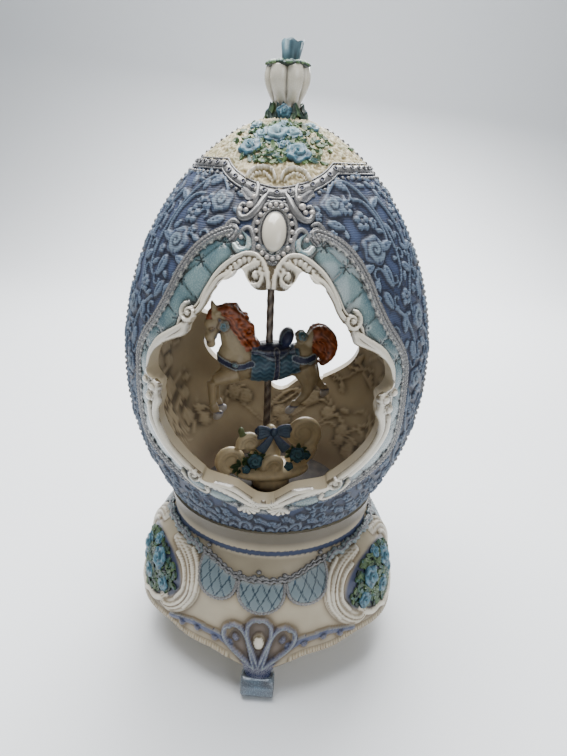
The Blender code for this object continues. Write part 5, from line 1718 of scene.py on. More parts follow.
@dataclass
class Stand:
    """The waisted stand with its swags, cartouches, fans, fringe and rolled feet."""

    looks: dict[str, bpy.types.Material]
    feet: int = 3
    skirt_edge_z: float = 16.0
    skirt_radius: float = 44.0
    skirt_dip: float = 4.5
    belly_z: float = 31.0
    belly_radius: float = 41.6
    neck_z: float = 45.0
    neck_radius: float = 33.4
    collar_z: float = 55.0
    collar_radius: float = 35.2
    cartouche_bulge: float = 2.6
    cartouche_half: float = 30.0
    foot_reach: float = 43.0
    roll_radius: float = 4.0
    roll_width: float = 10.4

    # Azimuth from the foot and height of the cord that carries the swags.
    SWAG_TOP = ((0.0, 39.4), (10.5, 39.6), (17.0, 40.7), (24.0, 42.2), (31.0, 42.8), (39.0, 43.3), (48.0, 43.8), (60.0, 44.6))

    # Middle azimuth, half width, shoulder height and foot height of the three swags of a side.
    SWAGS = ((0.0, 10.3, 39.7, 31.2), (-21.4, 10.2, 39.4, 32.8), (21.4, 10.2, 39.4, 32.8))

    @property
    def span(self) -> float:
        """Degrees from one foot to the next."""
        return 360.0 / self.feet

    def from_foot(self, azimuth: np.ndarray | float) -> np.ndarray:
        """Degrees from the nearest foot."""
        return np.abs((np.asarray(azimuth, float) + self.span / 2) % self.span - self.span / 2)

    def reach(self, azimuth: np.ndarray | float, z: np.ndarray | float) -> np.ndarray:
        """Radius of the stand.

        Args:
            azimuth: where round it.
            z: heights.

        Returns:
            The radius at each place.
        """
        azimuth, z = np.broadcast_arrays(np.asarray(azimuth, float), np.asarray(z, float))
        collar = self.neck_radius + (self.collar_radius - self.neck_radius) * (z - self.neck_z) / (self.collar_z - self.neck_z)
        share = np.clip((self.neck_z - z) / (self.neck_z - self.belly_z), 0, 1)
        waist = self.neck_radius + (self.belly_radius - self.neck_radius) * np.sin(share * math.pi / 2) ** 0.9
        low = (self.belly_z - z) / (self.belly_z - self.skirt_edge_z)
        skirt = self.belly_radius + (self.skirt_radius - self.belly_radius) * low
        radius = np.where(z >= self.neck_z, collar, np.where(z >= self.belly_z, waist, skirt))
        side = np.clip(1 - (self.span / 2 - self.from_foot(azimuth)) / self.cartouche_half, 0, 1)
        height = np.clip((self.neck_z + 4 - z) / 8, 0, 1)
        return radius + self.cartouche_bulge * side**2 * (3 - 2 * side) * height**2 * (3 - 2 * height)

    def edge(self, azimuth: np.ndarray | float) -> np.ndarray:
        """Height of the skirt's edge."""
        away = self.from_foot(azimuth)
        near, far = np.clip(away / 22.0, 0, 1), np.clip((away - 30) / 15, 0, 1)
        return self.skirt_edge_z - self.skirt_dip * (1 - near**2 * (3 - 2 * near)) + 2.0 * far**2 * (3 - 2 * far)

    def on(self, azimuth: np.ndarray | float, z: np.ndarray | float, outward: float = 0.0) -> np.ndarray:
        """Points on the stand."""
        radius = self.reach(azimuth, z) + outward
        angle = np.radians(azimuth)
        return np.stack([radius * np.sin(angle), -radius * np.cos(angle), np.broadcast_to(z, radius.shape)], -1)

    def out(self, azimuth: np.ndarray | float, z: np.ndarray | float) -> np.ndarray:
        """Outward directions of the stand's surface."""
        z = np.asarray(z, float)
        fall = (self.reach(azimuth, z + 0.5) - self.reach(azimuth, z - 0.5)) / 1.0
        angle = np.radians(azimuth) + 0 * z
        found = np.stack([np.sin(angle), -np.cos(angle), -fall], -1)
        return found / np.linalg.norm(found, axis=-1, keepdims=True)

    def seat(self, azimuth: float, z: float, lift: float = 0.0) -> Seat:
        """A seat on the stand."""
        out = self.out(azimuth, z)
        return Seat.facing(self.on(azimuth, z) + out * lift, out)

    def line(self, points: Sequence, step: float = 0.5, lift: float = 0.0) -> tuple[np.ndarray, np.ndarray]:
        """A rounded line over the stand, given by azimuth and height."""
        scale = math.radians(1) * 40.0
        run = smooth_line(np.asarray(points, float) * [scale, 1.0], step) / [scale, 1.0]
        out = self.out(run[:, 0], run[:, 1])
        return self.on(run[:, 0], run[:, 1]) + out * lift, out

    def build(self) -> None:
        """Builds the stand's skin, its lining, its raised trim and its feet."""
        columns, rows = 780, 104
        azimuth = 360.0 * np.arange(columns) / columns - 180.0
        share = np.linspace(0, 1, rows)[:, None]
        z = self.edge(azimuth) + (self.collar_z - self.edge(azimuth)) * share
        places = self.on(np.broadcast_to(azimuth, z.shape), z)
        skin = Skin("stand_body", places.reshape(-1, 3), grid_faces(rows, columns, True), Paint.CREAM)
        a, h = np.tile(azimuth, rows), z.ravel()
        ragged = 0.12 * np.sin(a * 1.9) + 0.08 * np.sin(a * 4.7)
        band = np.clip((1.15 - np.abs(h - 46.6 - ragged)) / 0.2, 0, 1)
        # Painted shadow of the egg on the collar, darkest just under it.
        skin.tint(0.90 * np.clip((h - 47.6) / 3.4, 0, 1), Paint.EGG_SHADOW_ON_COLLAR)
        skin.tint(band, Paint.BAND_BLUE)
        skin.rise -= 0.12 * band
        for i in range(self.feet):
            self.swags(skin, i * self.span)
            self.fan(skin, i * self.span, a, h)
            self.cartouche(skin, (i + 0.5) * self.span, a, h)
        self.fringe(skin, a, h)
        skin.finish(self.looks["cream"], "cream_resin", "stand")
        self.lining()
        self.trim()
        self.rolls()

    @staticmethod
    def swag_foot(a: np.ndarray, centre: float, half: float, high: float, low: float) -> np.ndarray:
        """Height of a swag's lower edge at each azimuth."""
        round_off = np.sqrt(np.clip(1 - ((a - centre) / half) ** 2, 0, 1)) ** 0.8
        outer = np.clip(np.abs(a) - 10.5, 0, None) * 0.22 * (centre != 0)
        return high + outer - (high - low + 0.7 * outer) * round_off

    def swags(self, skin: Skin, middle: float) -> None:
        """Raises the three lattice swags of one side.

        Args:
            skin: the stand's skin.
            middle: azimuth of the foot below them.
        """
        index = np.nonzero(np.abs((np.degrees(np.arctan2(skin.places[:, 0], -skin.places[:, 1])) - middle + 180) % 360 - 180) < 34)[0]
        a = (np.degrees(np.arctan2(skin.places[index, 0], -skin.places[index, 1])) - middle + 180) % 360 - 180
        h = skin.places[index, 2]
        for centre, half, high, low in self.SWAGS:
            top = np.interp(np.abs(a), *np.array(self.SWAG_TOP).T)
            u = (a - centre) / half
            bottom = self.swag_foot(a, centre, half, high, low)
            inside = (np.abs(u) < 1) & (h < top) & (h > bottom)
            arc, rise = a * 0.70, h
            p, q = (arc + rise * 0.62) / 3.5, (arc - rise * 0.62) / 3.5
            groove = np.minimum(np.abs(p - np.round(p)), np.abs(q - np.round(q))) < 0.05
            picked = index[inside]
            skin.rise[picked] = 0.55 - 0.12 * groove[inside]
            skin.paint[picked] = np.where(groove[inside][:, None], Paint.STITCH.light, Paint.SWAG_GREY.light)

    def fan(self, skin: Skin, middle: float, a: np.ndarray, h: np.ndarray) -> None:
        """Raises the fan of petals over one foot and the trim that runs from it.

        Args:
            skin: the stand's skin.
            middle: azimuth of the foot.
            a: azimuth of each vertex.
            h: height of each vertex.
        """
        away = (a - middle + 180) % 360 - 180
        x, y = away * 0.75, h - 10.5
        angle = np.degrees(np.arctan2(x, y))
        reach = np.hypot(x, y)
        fan = (np.abs(angle) < 50) & (reach < 17.5 - 0.0016 * angle**2)
        skin.tint(np.where(fan, 0.9, 0.0), Paint.MAUVE)
        skin.tint(np.clip((8.5 - reach) / 5, 0, 0.9) * (np.abs(angle) < 62), Paint.VIOLET_DEEP)
        seat = self.seat
        degree = 1 / 0.75
        for lean, length, half in ((0, 18.6, 4.0), (-32, 18.0, 3.6), (32, 18.0, 3.6)):
            turn = math.radians(lean)
            for way in (-1, 1):
                points = []
                for along, wide in ((0.12, 0.0), (0.42, 0.5), (0.72, 1.0), (0.92, 0.85), (1.0, 0.25), (0.97, 0.0)):
                    px = along * length * math.sin(turn) + way * wide * half * math.cos(turn)
                    py = along * length * math.cos(turn) - way * wide * half * math.sin(turn)
                    points.append((middle + px * degree, 10.5 + py))
                line, _ = self.line(points, 0.4)
                skin.ridge(line, 0.75, 0.95, Paint.VIOLET, 0.15, 0.35)
                skin.ridge(line, 0.22, 1.1, Paint.SWAG_GREY, 0.4, 0.35)
            if lean:
                spot = (middle + 13.6 * math.sin(turn) * degree, 10.5 + 13.6 * math.cos(turn))
                skin.dome(seat(*spot), 0.95, 1.3, 0.8, Paint.VIOLET_DEEP, 0.2, 0.3, spin=-lean)
        skin.dome(seat(middle, 21.4), 2.1, 3.0, 0.5, Paint.PEARL_SHADE, 0.3, 0.4)
        skin.dome(seat(middle, 21.2), 1.5, 2.1, 1.3, Paint.PEARL_WHITE, 0.0, 0.5)
        for way in (-1, 1):
            line, _ = self.line([(middle + way * x, z) for x, z in ((12.5, 19.6), (17.0, 21.4), (22.0, 21.4), (28.0, 22.0), (34.0, 21.0), (42.0, 19.6))], 0.5)
            skin.ridge(line, np.linspace(1.5, 0.7, len(line)), 0.6, Paint.VIOLET, 0.1, 0.1)
            skin.ridge(line + [0, 0, 1.0], 0.32, 0.5, Paint.SILVER, 0.3, 0.3)
            for x, z in ((18.5, 20.0), (27.0, 20.8), (35.0, 19.8)):
                skin.dome(seat(middle + way * x, z), 1.1, 0.95, 0.9, Paint.VIOLET_DEEP, 0.1, 0.4)

    def cartouche(self, skin: Skin, middle: float, a: np.ndarray, h: np.ndarray) -> None:
        """Raises the C-scrolls of one cartouche and paints its ground.

        Args:
            skin: the stand's skin.
            middle: azimuth of its middle.
            a: azimuth of each vertex.
            h: height of each vertex.
        """
        away = (a - middle + 180) % 360 - 180
        oval = (away / 22.0) ** 2 + ((h - 32.0) / 9.6) ** 2
        skin.tint(np.clip((1.05 - oval) * 6, 0, 1), Paint.VIOLET)
        skin.tint(0.5 * np.clip((1.05 - oval) * 3, 0, 1), Paint.SILVER_SHADE)
        for way in (-1, 1):
            outer = [(middle + way * x, z) for x, z in ((9.0, 43.0), (15.6, 42.2), (21.6, 40.6), (26.4, 37.6), (28.2, 33.6), (25.6, 28.2), (20.4, 23.8), (14.6, 21.9), (11.6, 23.6), (13.6, 25.4))]
            line, _ = self.line(outer, 0.45)
            widths = np.interp(np.linspace(0, 1, len(line)), (0, 0.15, 0.45, 0.8, 1), (0.6, 1.0, 1.5, 1.1, 0.6))
            skin.ridge(line, widths * 2.2, 0.75, Paint.PEARL_WHITE, 0.0, 0.0)
            skin.ridge(line, widths, 1.4, Paint.PEARL_WHITE, 0.0, 0.3)
            skin.ridge(line, 0.3, 0.45, Paint.CREAM_SHADE, 0.0, sunk=True)
            for points in (((15.0, 40.2), (20.4, 38.6), (24.0, 35.2), (23.6, 31.0), (19.8, 27.0)), ((21.6, 42.6), (27.8, 40.0), (30.8, 35.6), (29.6, 30.2), (24.8, 25.2))):
                line, _ = self.line([(middle + way * x, z) for x, z in points], 0.45)
                skin.ridge(line, 0.6, 0.8, Paint.PEARL_WHITE, 0.0, 0.4)
            low = [(middle + way * x, z) for x, z in ((12.0, 23.6), (7.6, 21.8), (3.6, 23.0), (0.0, 21.4))]
            line, _ = self.line(low, 0.45)
            skin.ridge(line, 1.0, 1.0, Paint.PEARL_WHITE, 0.0, 0.3)

    def fringe(self, skin: Skin, a: np.ndarray, h: np.ndarray) -> None:
        """Flutes the skirt's edge.

        Args:
            skin: the stand's skin.
            a: azimuth of each vertex.
            h: height of each vertex.
        """
        up = h - self.edge(a)
        near = self.from_foot(a)
        zone = (up < 1.6) & (near > 12)
        flute = np.sqrt(np.abs(np.cos(a * math.pi / 1.2)))
        skin.rise[zone] = np.maximum(skin.rise[zone], 0.1 + 0.35 * flute[zone] * np.clip((1.6 - up[zone]) / 0.6, 0, 1))
        skin.tint(np.where(zone & (flute < 0.80), 0.6, 0.0), Paint.CREAM_SHADE)

    def lining(self) -> None:
        """Builds the bowl that the egg sits in, the collar's rim and the underside."""
        egg = Egg()
        sides = 200
        azimuth = 360.0 * np.arange(sides) / sides
        gap = 0.6
        top_reach = float(egg.reach(self.collar_z)) + gap
        rings = [self.on(azimuth, self.collar_z)]
        collar = self.on(azimuth, self.collar_z)
        for share in (0.2, 0.5, 0.8):
            inner = np.stack([top_reach * np.sin(np.radians(azimuth)), -top_reach * np.cos(np.radians(azimuth)), np.full(sides, self.collar_z)], 1)
            rings.append(collar + (inner - collar) * share + [0, 0, -0.05 + 0.0 * share])
        for z in np.linspace(self.collar_z, 34.0, 24):
            reach = float(egg.reach(z)) + gap
            rings.append(np.stack([reach * np.sin(np.radians(azimuth)), -reach * np.cos(np.radians(azimuth)), np.full(sides, z)], 1))
        places = np.concatenate(rings)
        skin = Skin("stand_bowl", places, grid_faces(len(rings), sides, True), Paint.CREAM)
        # Painted shade deep in the bowl, under the egg.
        skin.tint(np.clip((53.5 - skin.places[:, 2]) / 6, 0, 0.7), Paint.CREAM_SHADE)
        skin.finish(self.looks["cream"], "cream_resin", "stand")
        edge = self.on(azimuth, self.edge(azimuth))
        hub = np.array([0.0, 0.0, self.skirt_edge_z])
        lows = [hub + (edge - hub) * share for share in np.linspace(0.01, 1, 40)]
        under = Skin("stand_underside", np.concatenate(lows), grid_faces(40, sides, True), Paint.CREAM)
        under.rise += 0.15 * ripple(under.places, 8.0, 41)
        under.tint(np.full(len(under.places), 0.35), Paint.CREAM_SHADE)
        under.finish(self.looks["cream"], "cream_resin", "stand")

    def trim(self) -> None:
        """Builds beaded swag edges, the ruffled ribbon and the posies in the cartouches."""
        beads, posies = Heap("stand_beading"), Heap("stand_posies")
        for i in range(self.feet):
            foot = i * self.span
            for centre, half, high, low in self.SWAGS:
                swing = np.linspace(0, math.pi, 25)
                a = centre - half * np.cos(swing)
                z = self.swag_foot(a, centre, half, high, low)
                line, out = self.line(np.stack([foot + a, z], 1), 0.3, 0.35)
                beads.tube(line, 0.72, out, Paint.SILVER, 0.35, 6, 0.9, beat=1.25, depth=0.35)
            cord = [(-a, z) for a, z in self.SWAG_TOP[::-1]] + list(self.SWAG_TOP[1:])
            for lift, phase in ((0.35, 0.0), (1.1, 0.6)):
                line, out = self.line([(foot + a, z + lift * 0.9) for a, z in cord], 0.35, 0.45)
                wave = 0.35 * np.sin(np.arange(len(line)) * 0.35 / 2.4 * 2 * math.pi + phase)
                beads.tube(line + wave[:, None] * [0, 0, 1], 0.5, out, Paint.SILVER, 0.35, 7, 1.0, beat=2.4, depth=0.35)
            for a, z in ((-10.6, 40.2), (10.6, 40.2), (-31.0, 43.8), (31.0, 43.8), (-1.6, 40.8)):
                for k in range(3):
                    beads.ball(self.seat(foot + a + (k - 1) * 1.9, z + (k == 1) * 1.1, 0.5), (0.85, 0.7, 0.7), Paint.SILVER, 0.4, 9)
            for way in (-1, 1):
                climb = [(foot + way * a, z) for a, z in ((33.0, 42.6), (38.0, 44.4), (43.0, 43.6), (48.0, 45.0), (54.0, 44.4), (60.0, 45.4))]
                line, out = self.line(climb, 0.4, 0.6)
                beads.tube(line, 1.5, out, Paint.SWAG_GREY, 0.1, 9, 0.55, beat=2.2, depth=0.45)
                beads.tube(line + out * 0.5, 0.5, out, Paint.LILAC_GREY, 0.3, 6, 1.0, beat=1.3, depth=0.4)
            self.posy(posies, (i + 0.5) * self.span, i)
        beads.store(self.looks["silver"], "cream_resin", "stand")
        posies.store(self.looks["flower"], "cream_resin", "stand")

    def posy(self, heap: Heap, middle: float, seed: int) -> None:
        """Adds the roses and leaves of one cartouche.

        Args:
            heap: where they go.
            middle: azimuth of the cartouche.
            seed: picks how the small leaves are strewn.
        """
        draw = np.random.default_rng(100 + seed)
        blends = ((Paint.LEAF, Paint.LEAF_DEEP), (Paint.LEAF_DEEP, Paint.LEAF_DEEP), (Paint.MOSS, Paint.LEAF_DEEP), (Paint.LEAF, Paint.ROSE_DEEP))
        for i in range(380):
            a, z = draw.uniform(-19.5, 19.5), draw.uniform(23.4, 40.6)
            if (a / 19.0) ** 2 + ((z - 32.0) / 8.6) ** 2 > 1:
                continue
            pale, deep = blends[i % 4]
            heap.leaf(self.seat(middle + a, z, 0.35), draw.uniform(2.0, 3.4), draw.uniform(0, 360), pale, deep, 0.2)
        for a, z, size in (
            (6.8, 36.0, 3.6), (11.8, 29.0, 2.9), (-7.4, 34.8, 3.6), (-11.8, 28.0, 2.9), (0.2, 39.8, 2.2), (0.4, 28.8, 3.0),
        ):
            seat = self.seat(middle + a, z, 0.4)
            heap.rose(seat, size, Paint.ROSE_BLUE, Paint.ROSE_DEEP, draw.uniform(0, 360), 0.55)

    def rolls(self) -> None:
        """Builds the three rolled feet with their necks."""
        heap = Heap("rolled_feet")
        for i in range(self.feet):
            azimuth = i * self.span
            angle = math.radians(azimuth)
            out = np.array([math.sin(angle), -math.cos(angle), 0.0])
            side = np.array([math.cos(angle), math.sin(angle), 0.0])
            drop = self.roll_radius * math.cos(math.pi / 14) - 0.02
            centre = out * self.foot_reach + np.array([0, 0, drop])
            sides, radius = 48, drop
            turn = 2 * math.pi * np.arange(sides) / sides
            places, relief = [], []
            half = self.roll_width / 2
            steps = ((-1.0, 0.20), (-1.0, 0.62), (-1.0, 0.86), (-0.96, 0.95), (-0.88, 1.0), (-0.5, 0.985), (0.0, 0.98), (0.5, 0.985), (0.88, 1.0), (0.96, 0.95), (1.0, 0.86), (1.0, 0.62), (1.0, 0.20))
            for along, share in steps:
                inset = 0.5 * (share < 0.7) * (1 if along > 0 else -1)
                ring = centre + side * (along * half - inset) + np.outer(np.cos(turn), out) * radius * share
                places.append(ring + np.outer(np.sin(turn), [0, 0, 1]) * radius * share)
                relief.append(np.full(sides, share - 0.98))
            faces = [tuple(reversed(f)) for f in grid_faces(len(steps), sides, True).tolist()]
            faces.append(tuple(range(sides)))
            faces.append(tuple(reversed(range((len(steps) - 1) * sides, len(steps) * sides))))
            points = np.concatenate(places)
            blotch = (0.5 * ripple(points, 1.1, 51 + i) + 0.5 * ripple(points, 2.6, 61 + i))[:, None]
            paint = Paint.SILVER.light * blotch + Paint.DRY_BLUE.light * (1 - blotch)
            heap.add(points, faces, paint, 0.6, np.concatenate(relief))
            low = out * (self.foot_reach - 0.2) + np.array([0, 0, self.roll_radius + 1.2])
            high = self.on(azimuth, 14.5) * [1, 1, 1] - out * 1.2
            line = low + (high - low) * np.linspace(0, 1, 12)[:, None]
            widths = np.interp(np.linspace(0, 1, 12), (0, 0.35, 1), (4.6, 4.0, 6.4))
            heap.tube(line, widths, np.tile(out, (12, 1)), Paint.VIOLET_DEEP, 0.3, 20, 0.42)
        heap.store(self.looks["silver"], "cream_resin", "stand")


@dataclass
class Finial:
    """The white tulip cup on its leafy foot, with the broken stub in it."""

    looks: dict[str, bpy.types.Material]
    base_z: float = 167.9
    foot_height: float = 5.2
    cup_height: float = 10.0
    cup_radius: float = 6.3
    neck_radius: float = 3.9
    stub_radius: float = 2.5
    stub_height: float = 6.4
    lobes: int = 6

    def build(self) -> None:
        """Builds the cup, the stub and the leaves round the foot."""
        foot_top = self.base_z + self.foot_height
        cup_top = foot_top + self.cup_height
        profile = smooth_line(
            [
                (5.2, self.base_z + 0.6), (5.0, self.base_z + 2.0), (4.1, foot_top - 1.2), (3.7, foot_top + 0.2), (4.6, foot_top + 1.8),
                (6.0, foot_top + 4.6), (6.5, foot_top + 7.0), (6.2, cup_top - 1.0), (5.2, cup_top), (4.0, cup_top - 0.4), (2.6, cup_top - 1.6), (0.5, cup_top - 2.0),
            ], 0.25, False, 2,
        )
        sides = 144
        turn = 2 * math.pi * np.arange(sides) / sides
        share = np.clip((profile[:, 1] - foot_top) / self.cup_height, 0, 1)[:, None]
        lobe = np.abs(np.cos(self.lobes / 2 * turn))[None] ** 0.5
        reach = profile[:, :1] * (1 - 0.22 * (1 - lobe) * np.clip(share * 3, 0, 1))
        places = np.stack([reach * np.cos(turn), reach * np.sin(turn), profile[:, 1:2] + 0.5 * lobe * (share > 0.9)], -1)
        skin = Skin("finial_cup", places.reshape(-1, 3), grid_faces(len(profile), sides, True), Paint.PEARL_WHITE)
        skin.rise += -0.25 * ((1 - lobe) * np.clip(share * 4, 0, 1)).ravel()
        inside = np.arange(len(profile)) > int(np.argmax(profile[:, 1])) + 2
        skin.tint(np.repeat(np.where(inside, 0.75, 0.0), sides) * ripple(skin.places, 1.4, 61), Paint.LEAF)
        # Painted shade on the lower part of the cup.
        skin.tint(np.repeat(0.45 * np.clip(1 - share[:, 0] * 1.4, 0, 1), sides), Paint.PEARL_SHADE)
        skin.finish(self.looks["frame"], "pearl_white_resin", "finial")
        heap = Heap("finial_stub_and_leaves")
        line = np.stack([np.linspace(0.3, 1.0, 16), np.zeros(16), np.linspace(cup_top - 3.0, cup_top + self.stub_height - 0.45, 16)], 1)
        widths = np.interp(np.linspace(0, 1, 16), (0, 0.5, 1), (2.35, 2.45, 3.25))
        sides = 24
        turn = 2 * math.pi * np.arange(sides) / sides
        flute = 1 - 0.06 * np.abs(np.sin(4.5 * turn))
        ring = np.stack([np.cos(turn) * flute, np.sin(turn) * flute, 0 * turn], 1)
        ragged = 0.35 * np.sin(turn * 3 + 1) + 0.25 * np.sin(turn * 7)
        places = line[:, None] + ring[None] * widths[:, None, None]
        places[-1, :, 2] += ragged
        well = line[-1] + ring * 2.2 + np.stack([0 * turn, 0 * turn, ragged * 0.6 - 1.6], 1)
        points = np.concatenate([places.reshape(-1, 3), well])
        relief = np.concatenate([np.tile(flute - 0.95, 16) * 2, np.full(sides, -0.3)])
        deep = np.concatenate([np.tile((flute - 0.94) / 0.06, 16), np.zeros(sides)])[:, None]
        paint = Paint.STUB_SHADE.light * (1 - deep) + Paint.STUB_TEAL.light * deep
        faces = grid_faces(17, sides, True).tolist() + [tuple(reversed(range(sides))), tuple(range(16 * sides, 17 * sides))]
        heap.add(points, faces, paint, 0.0, relief)
        rim = np.stack([5.2 * np.cos(turn), 5.2 * np.sin(turn), cup_top + 0.1 + 0.3 * np.sin(5 * turn)], 1)
        heap.tube(rim, 0.7, np.tile([0.0, 0, 1], (sides, 1)), Paint.LEAF_DEEP, 0.0, 8, 0.9, closed=True)
        draw = np.random.default_rng(71)
        for i in range(130):
            a = draw.uniform(0, 2 * math.pi)
            reach = draw.uniform(4.4, 5.9)
            seat = Seat.facing([reach * math.cos(a), reach * math.sin(a), cup_top + 0.7 - 0.5 * abs(reach - 5.0)], [math.cos(a) * 0.7, math.sin(a) * 0.7, 1])
            bead = draw.uniform(0.45, 0.85)
            heap.ball(seat, (bead, bead, 0.6 * bead), (Paint.LEAF, Paint.MOSS, Paint.LEAF_DEEP)[i % 3], 0.0, 8)
        for i in range(30):
            a = 2 * math.pi * i / 15 + 0.2 * (i % 2)
            z = self.base_z + (1.6 if i < 15 else 3.8)
            reach = 5.9 if i < 15 else 4.8
            seat = Seat.facing([reach * math.cos(a), reach * math.sin(a), z], [math.cos(a), math.sin(a), 0.55])
            heap.leaf(seat, draw.uniform(3.6, 4.6), draw.uniform(55, 125), Paint.LEAF if i % 4 == 0 else Paint.LEAF_DEEP, Paint.LEAF_DEEP, 0.35)
        for degrees, size in ((-93, 2.1), (90, 2.0), (20, 1.4), (160, 1.4)):
            a = math.radians(degrees)
            seat = Seat.facing([5.7 * math.cos(a), 5.7 * math.sin(a), self.base_z + 3.4], [math.cos(a), math.sin(a), 0.35])
            heap.rose(seat, size, Paint.ROSE_BLUE, Paint.ROSE_DEEP, degrees, 0.6)
        heap.store(self.looks["flower"], "pearl_white_resin", "finial")


@dataclass
class Carousel:
    """Pole, horse and scroll plinth, drawn in the horse's own frame and turned about the pole."""

    looks: dict[str, bpy.types.Material]
    pole_x: float = -2.6
    turn: float = 15.0
    pole_radius: float = 1.25
    pole_low: float = 56.6
    pole_high: float = 161.85
    back_z: float = 102.7
    floor_z: float = 50.3

    def at(self, u: float | np.ndarray, v: float | np.ndarray, w: float | np.ndarray) -> np.ndarray:
        """Points given along the horse, across it and at a height."""
        c, s = math.cos(math.radians(self.turn)), math.sin(math.radians(self.turn))
        u, v, w = np.broadcast_arrays(np.asarray(u, float), np.asarray(v, float), np.asarray(w, float))
        return np.stack([self.pole_x + u * c - v * s, u * s + v * c, w], -1)

    def own(self, places: np.ndarray) -> np.ndarray:
        """Turns points back to the horse's own frame."""
        c, s = math.cos(math.radians(self.turn)), math.sin(math.radians(self.turn))
        x, y = places[:, 0] - self.pole_x, places[:, 1]
        return np.stack([x * c + y * s, -x * s + y * c, places[:, 2]], 1)

    def build(self) -> None:
        """Builds the pole, the horse and the plinth."""
        self.pole()
        Horse(self).build()
        Plinth(self).build()

    def pole(self) -> None:
        """Builds the barley-twist rod."""
        rows, sides = 420, 20
        z = np.linspace(self.pole_low, self.pole_high, rows)[:, None]
        turn = (2 * math.pi * np.arange(sides) / sides)[None]
        radius = self.pole_radius * (0.95 + 0.045 * np.cos(2 * turn - z * 2 * math.pi / 4.2))
        places = np.stack([self.pole_x + radius * np.cos(turn), radius * np.sin(turn), z + 0 * turn], -1)
        faces = grid_faces(rows, sides, True).tolist()
        faces += [tuple(reversed(range(sides))), tuple(range((rows - 1) * sides, rows * sides))]
        heap = Heap("twisted_pole")
        heap.add(places.reshape(-1, 3), faces, Paint.BRONZE.light, 0.45, (radius - 0.95 * self.pole_radius).ravel() * 5)
        heap.store(self.looks["rod"], "dark_bronze_rod", "pole")


def one_skin(lumps: Heap, grain: float, soften: int) -> tuple[np.ndarray, np.ndarray]:
    """Runs overlapping lumps together into one fine skin.

    Args:
        lumps: the lumps.
        grain: size of the skin's faces.
        soften: rounds of smoothing.

    Returns:
        Vertices and faces.
    """
    mesh = bpy.data.meshes.new("lumps")
    mesh.from_pydata((np.concatenate(lumps.places) * MM).tolist(), [], lumps.faces)
    holder = bpy.data.objects.new("lumps", mesh)
    bpy.context.scene.collection.objects.link(holder)
    skin = holder.modifiers.new("one skin", "REMESH")
    skin.mode = "VOXEL"
    skin.voxel_size = grain * MM
    graph = bpy.context.evaluated_depsgraph_get()
    made = bpy.data.meshes.new_from_object(holder.evaluated_get(graph))
    places = np.empty(len(made.vertices) * 3, np.float32)
    made.vertices.foreach_get("co", places)
    edges = np.empty(len(made.edges) * 2, np.int32)
    made.edges.foreach_get("vertices", edges)
    corners = np.empty(len(made.loops), np.int32)
    made.loops.foreach_get("vertex_index", corners)
    bpy.data.objects.remove(holder)
    bpy.data.meshes.remove(mesh)
    bpy.data.meshes.remove(made)
    places, edges = places.reshape(-1, 3).astype(float) / MM, edges.reshape(-1, 2)
    places = np.stack([smoothed(places[:, i], edges, soften) for i in range(3)], 1)
    return places, corners.reshape(-1, 4)


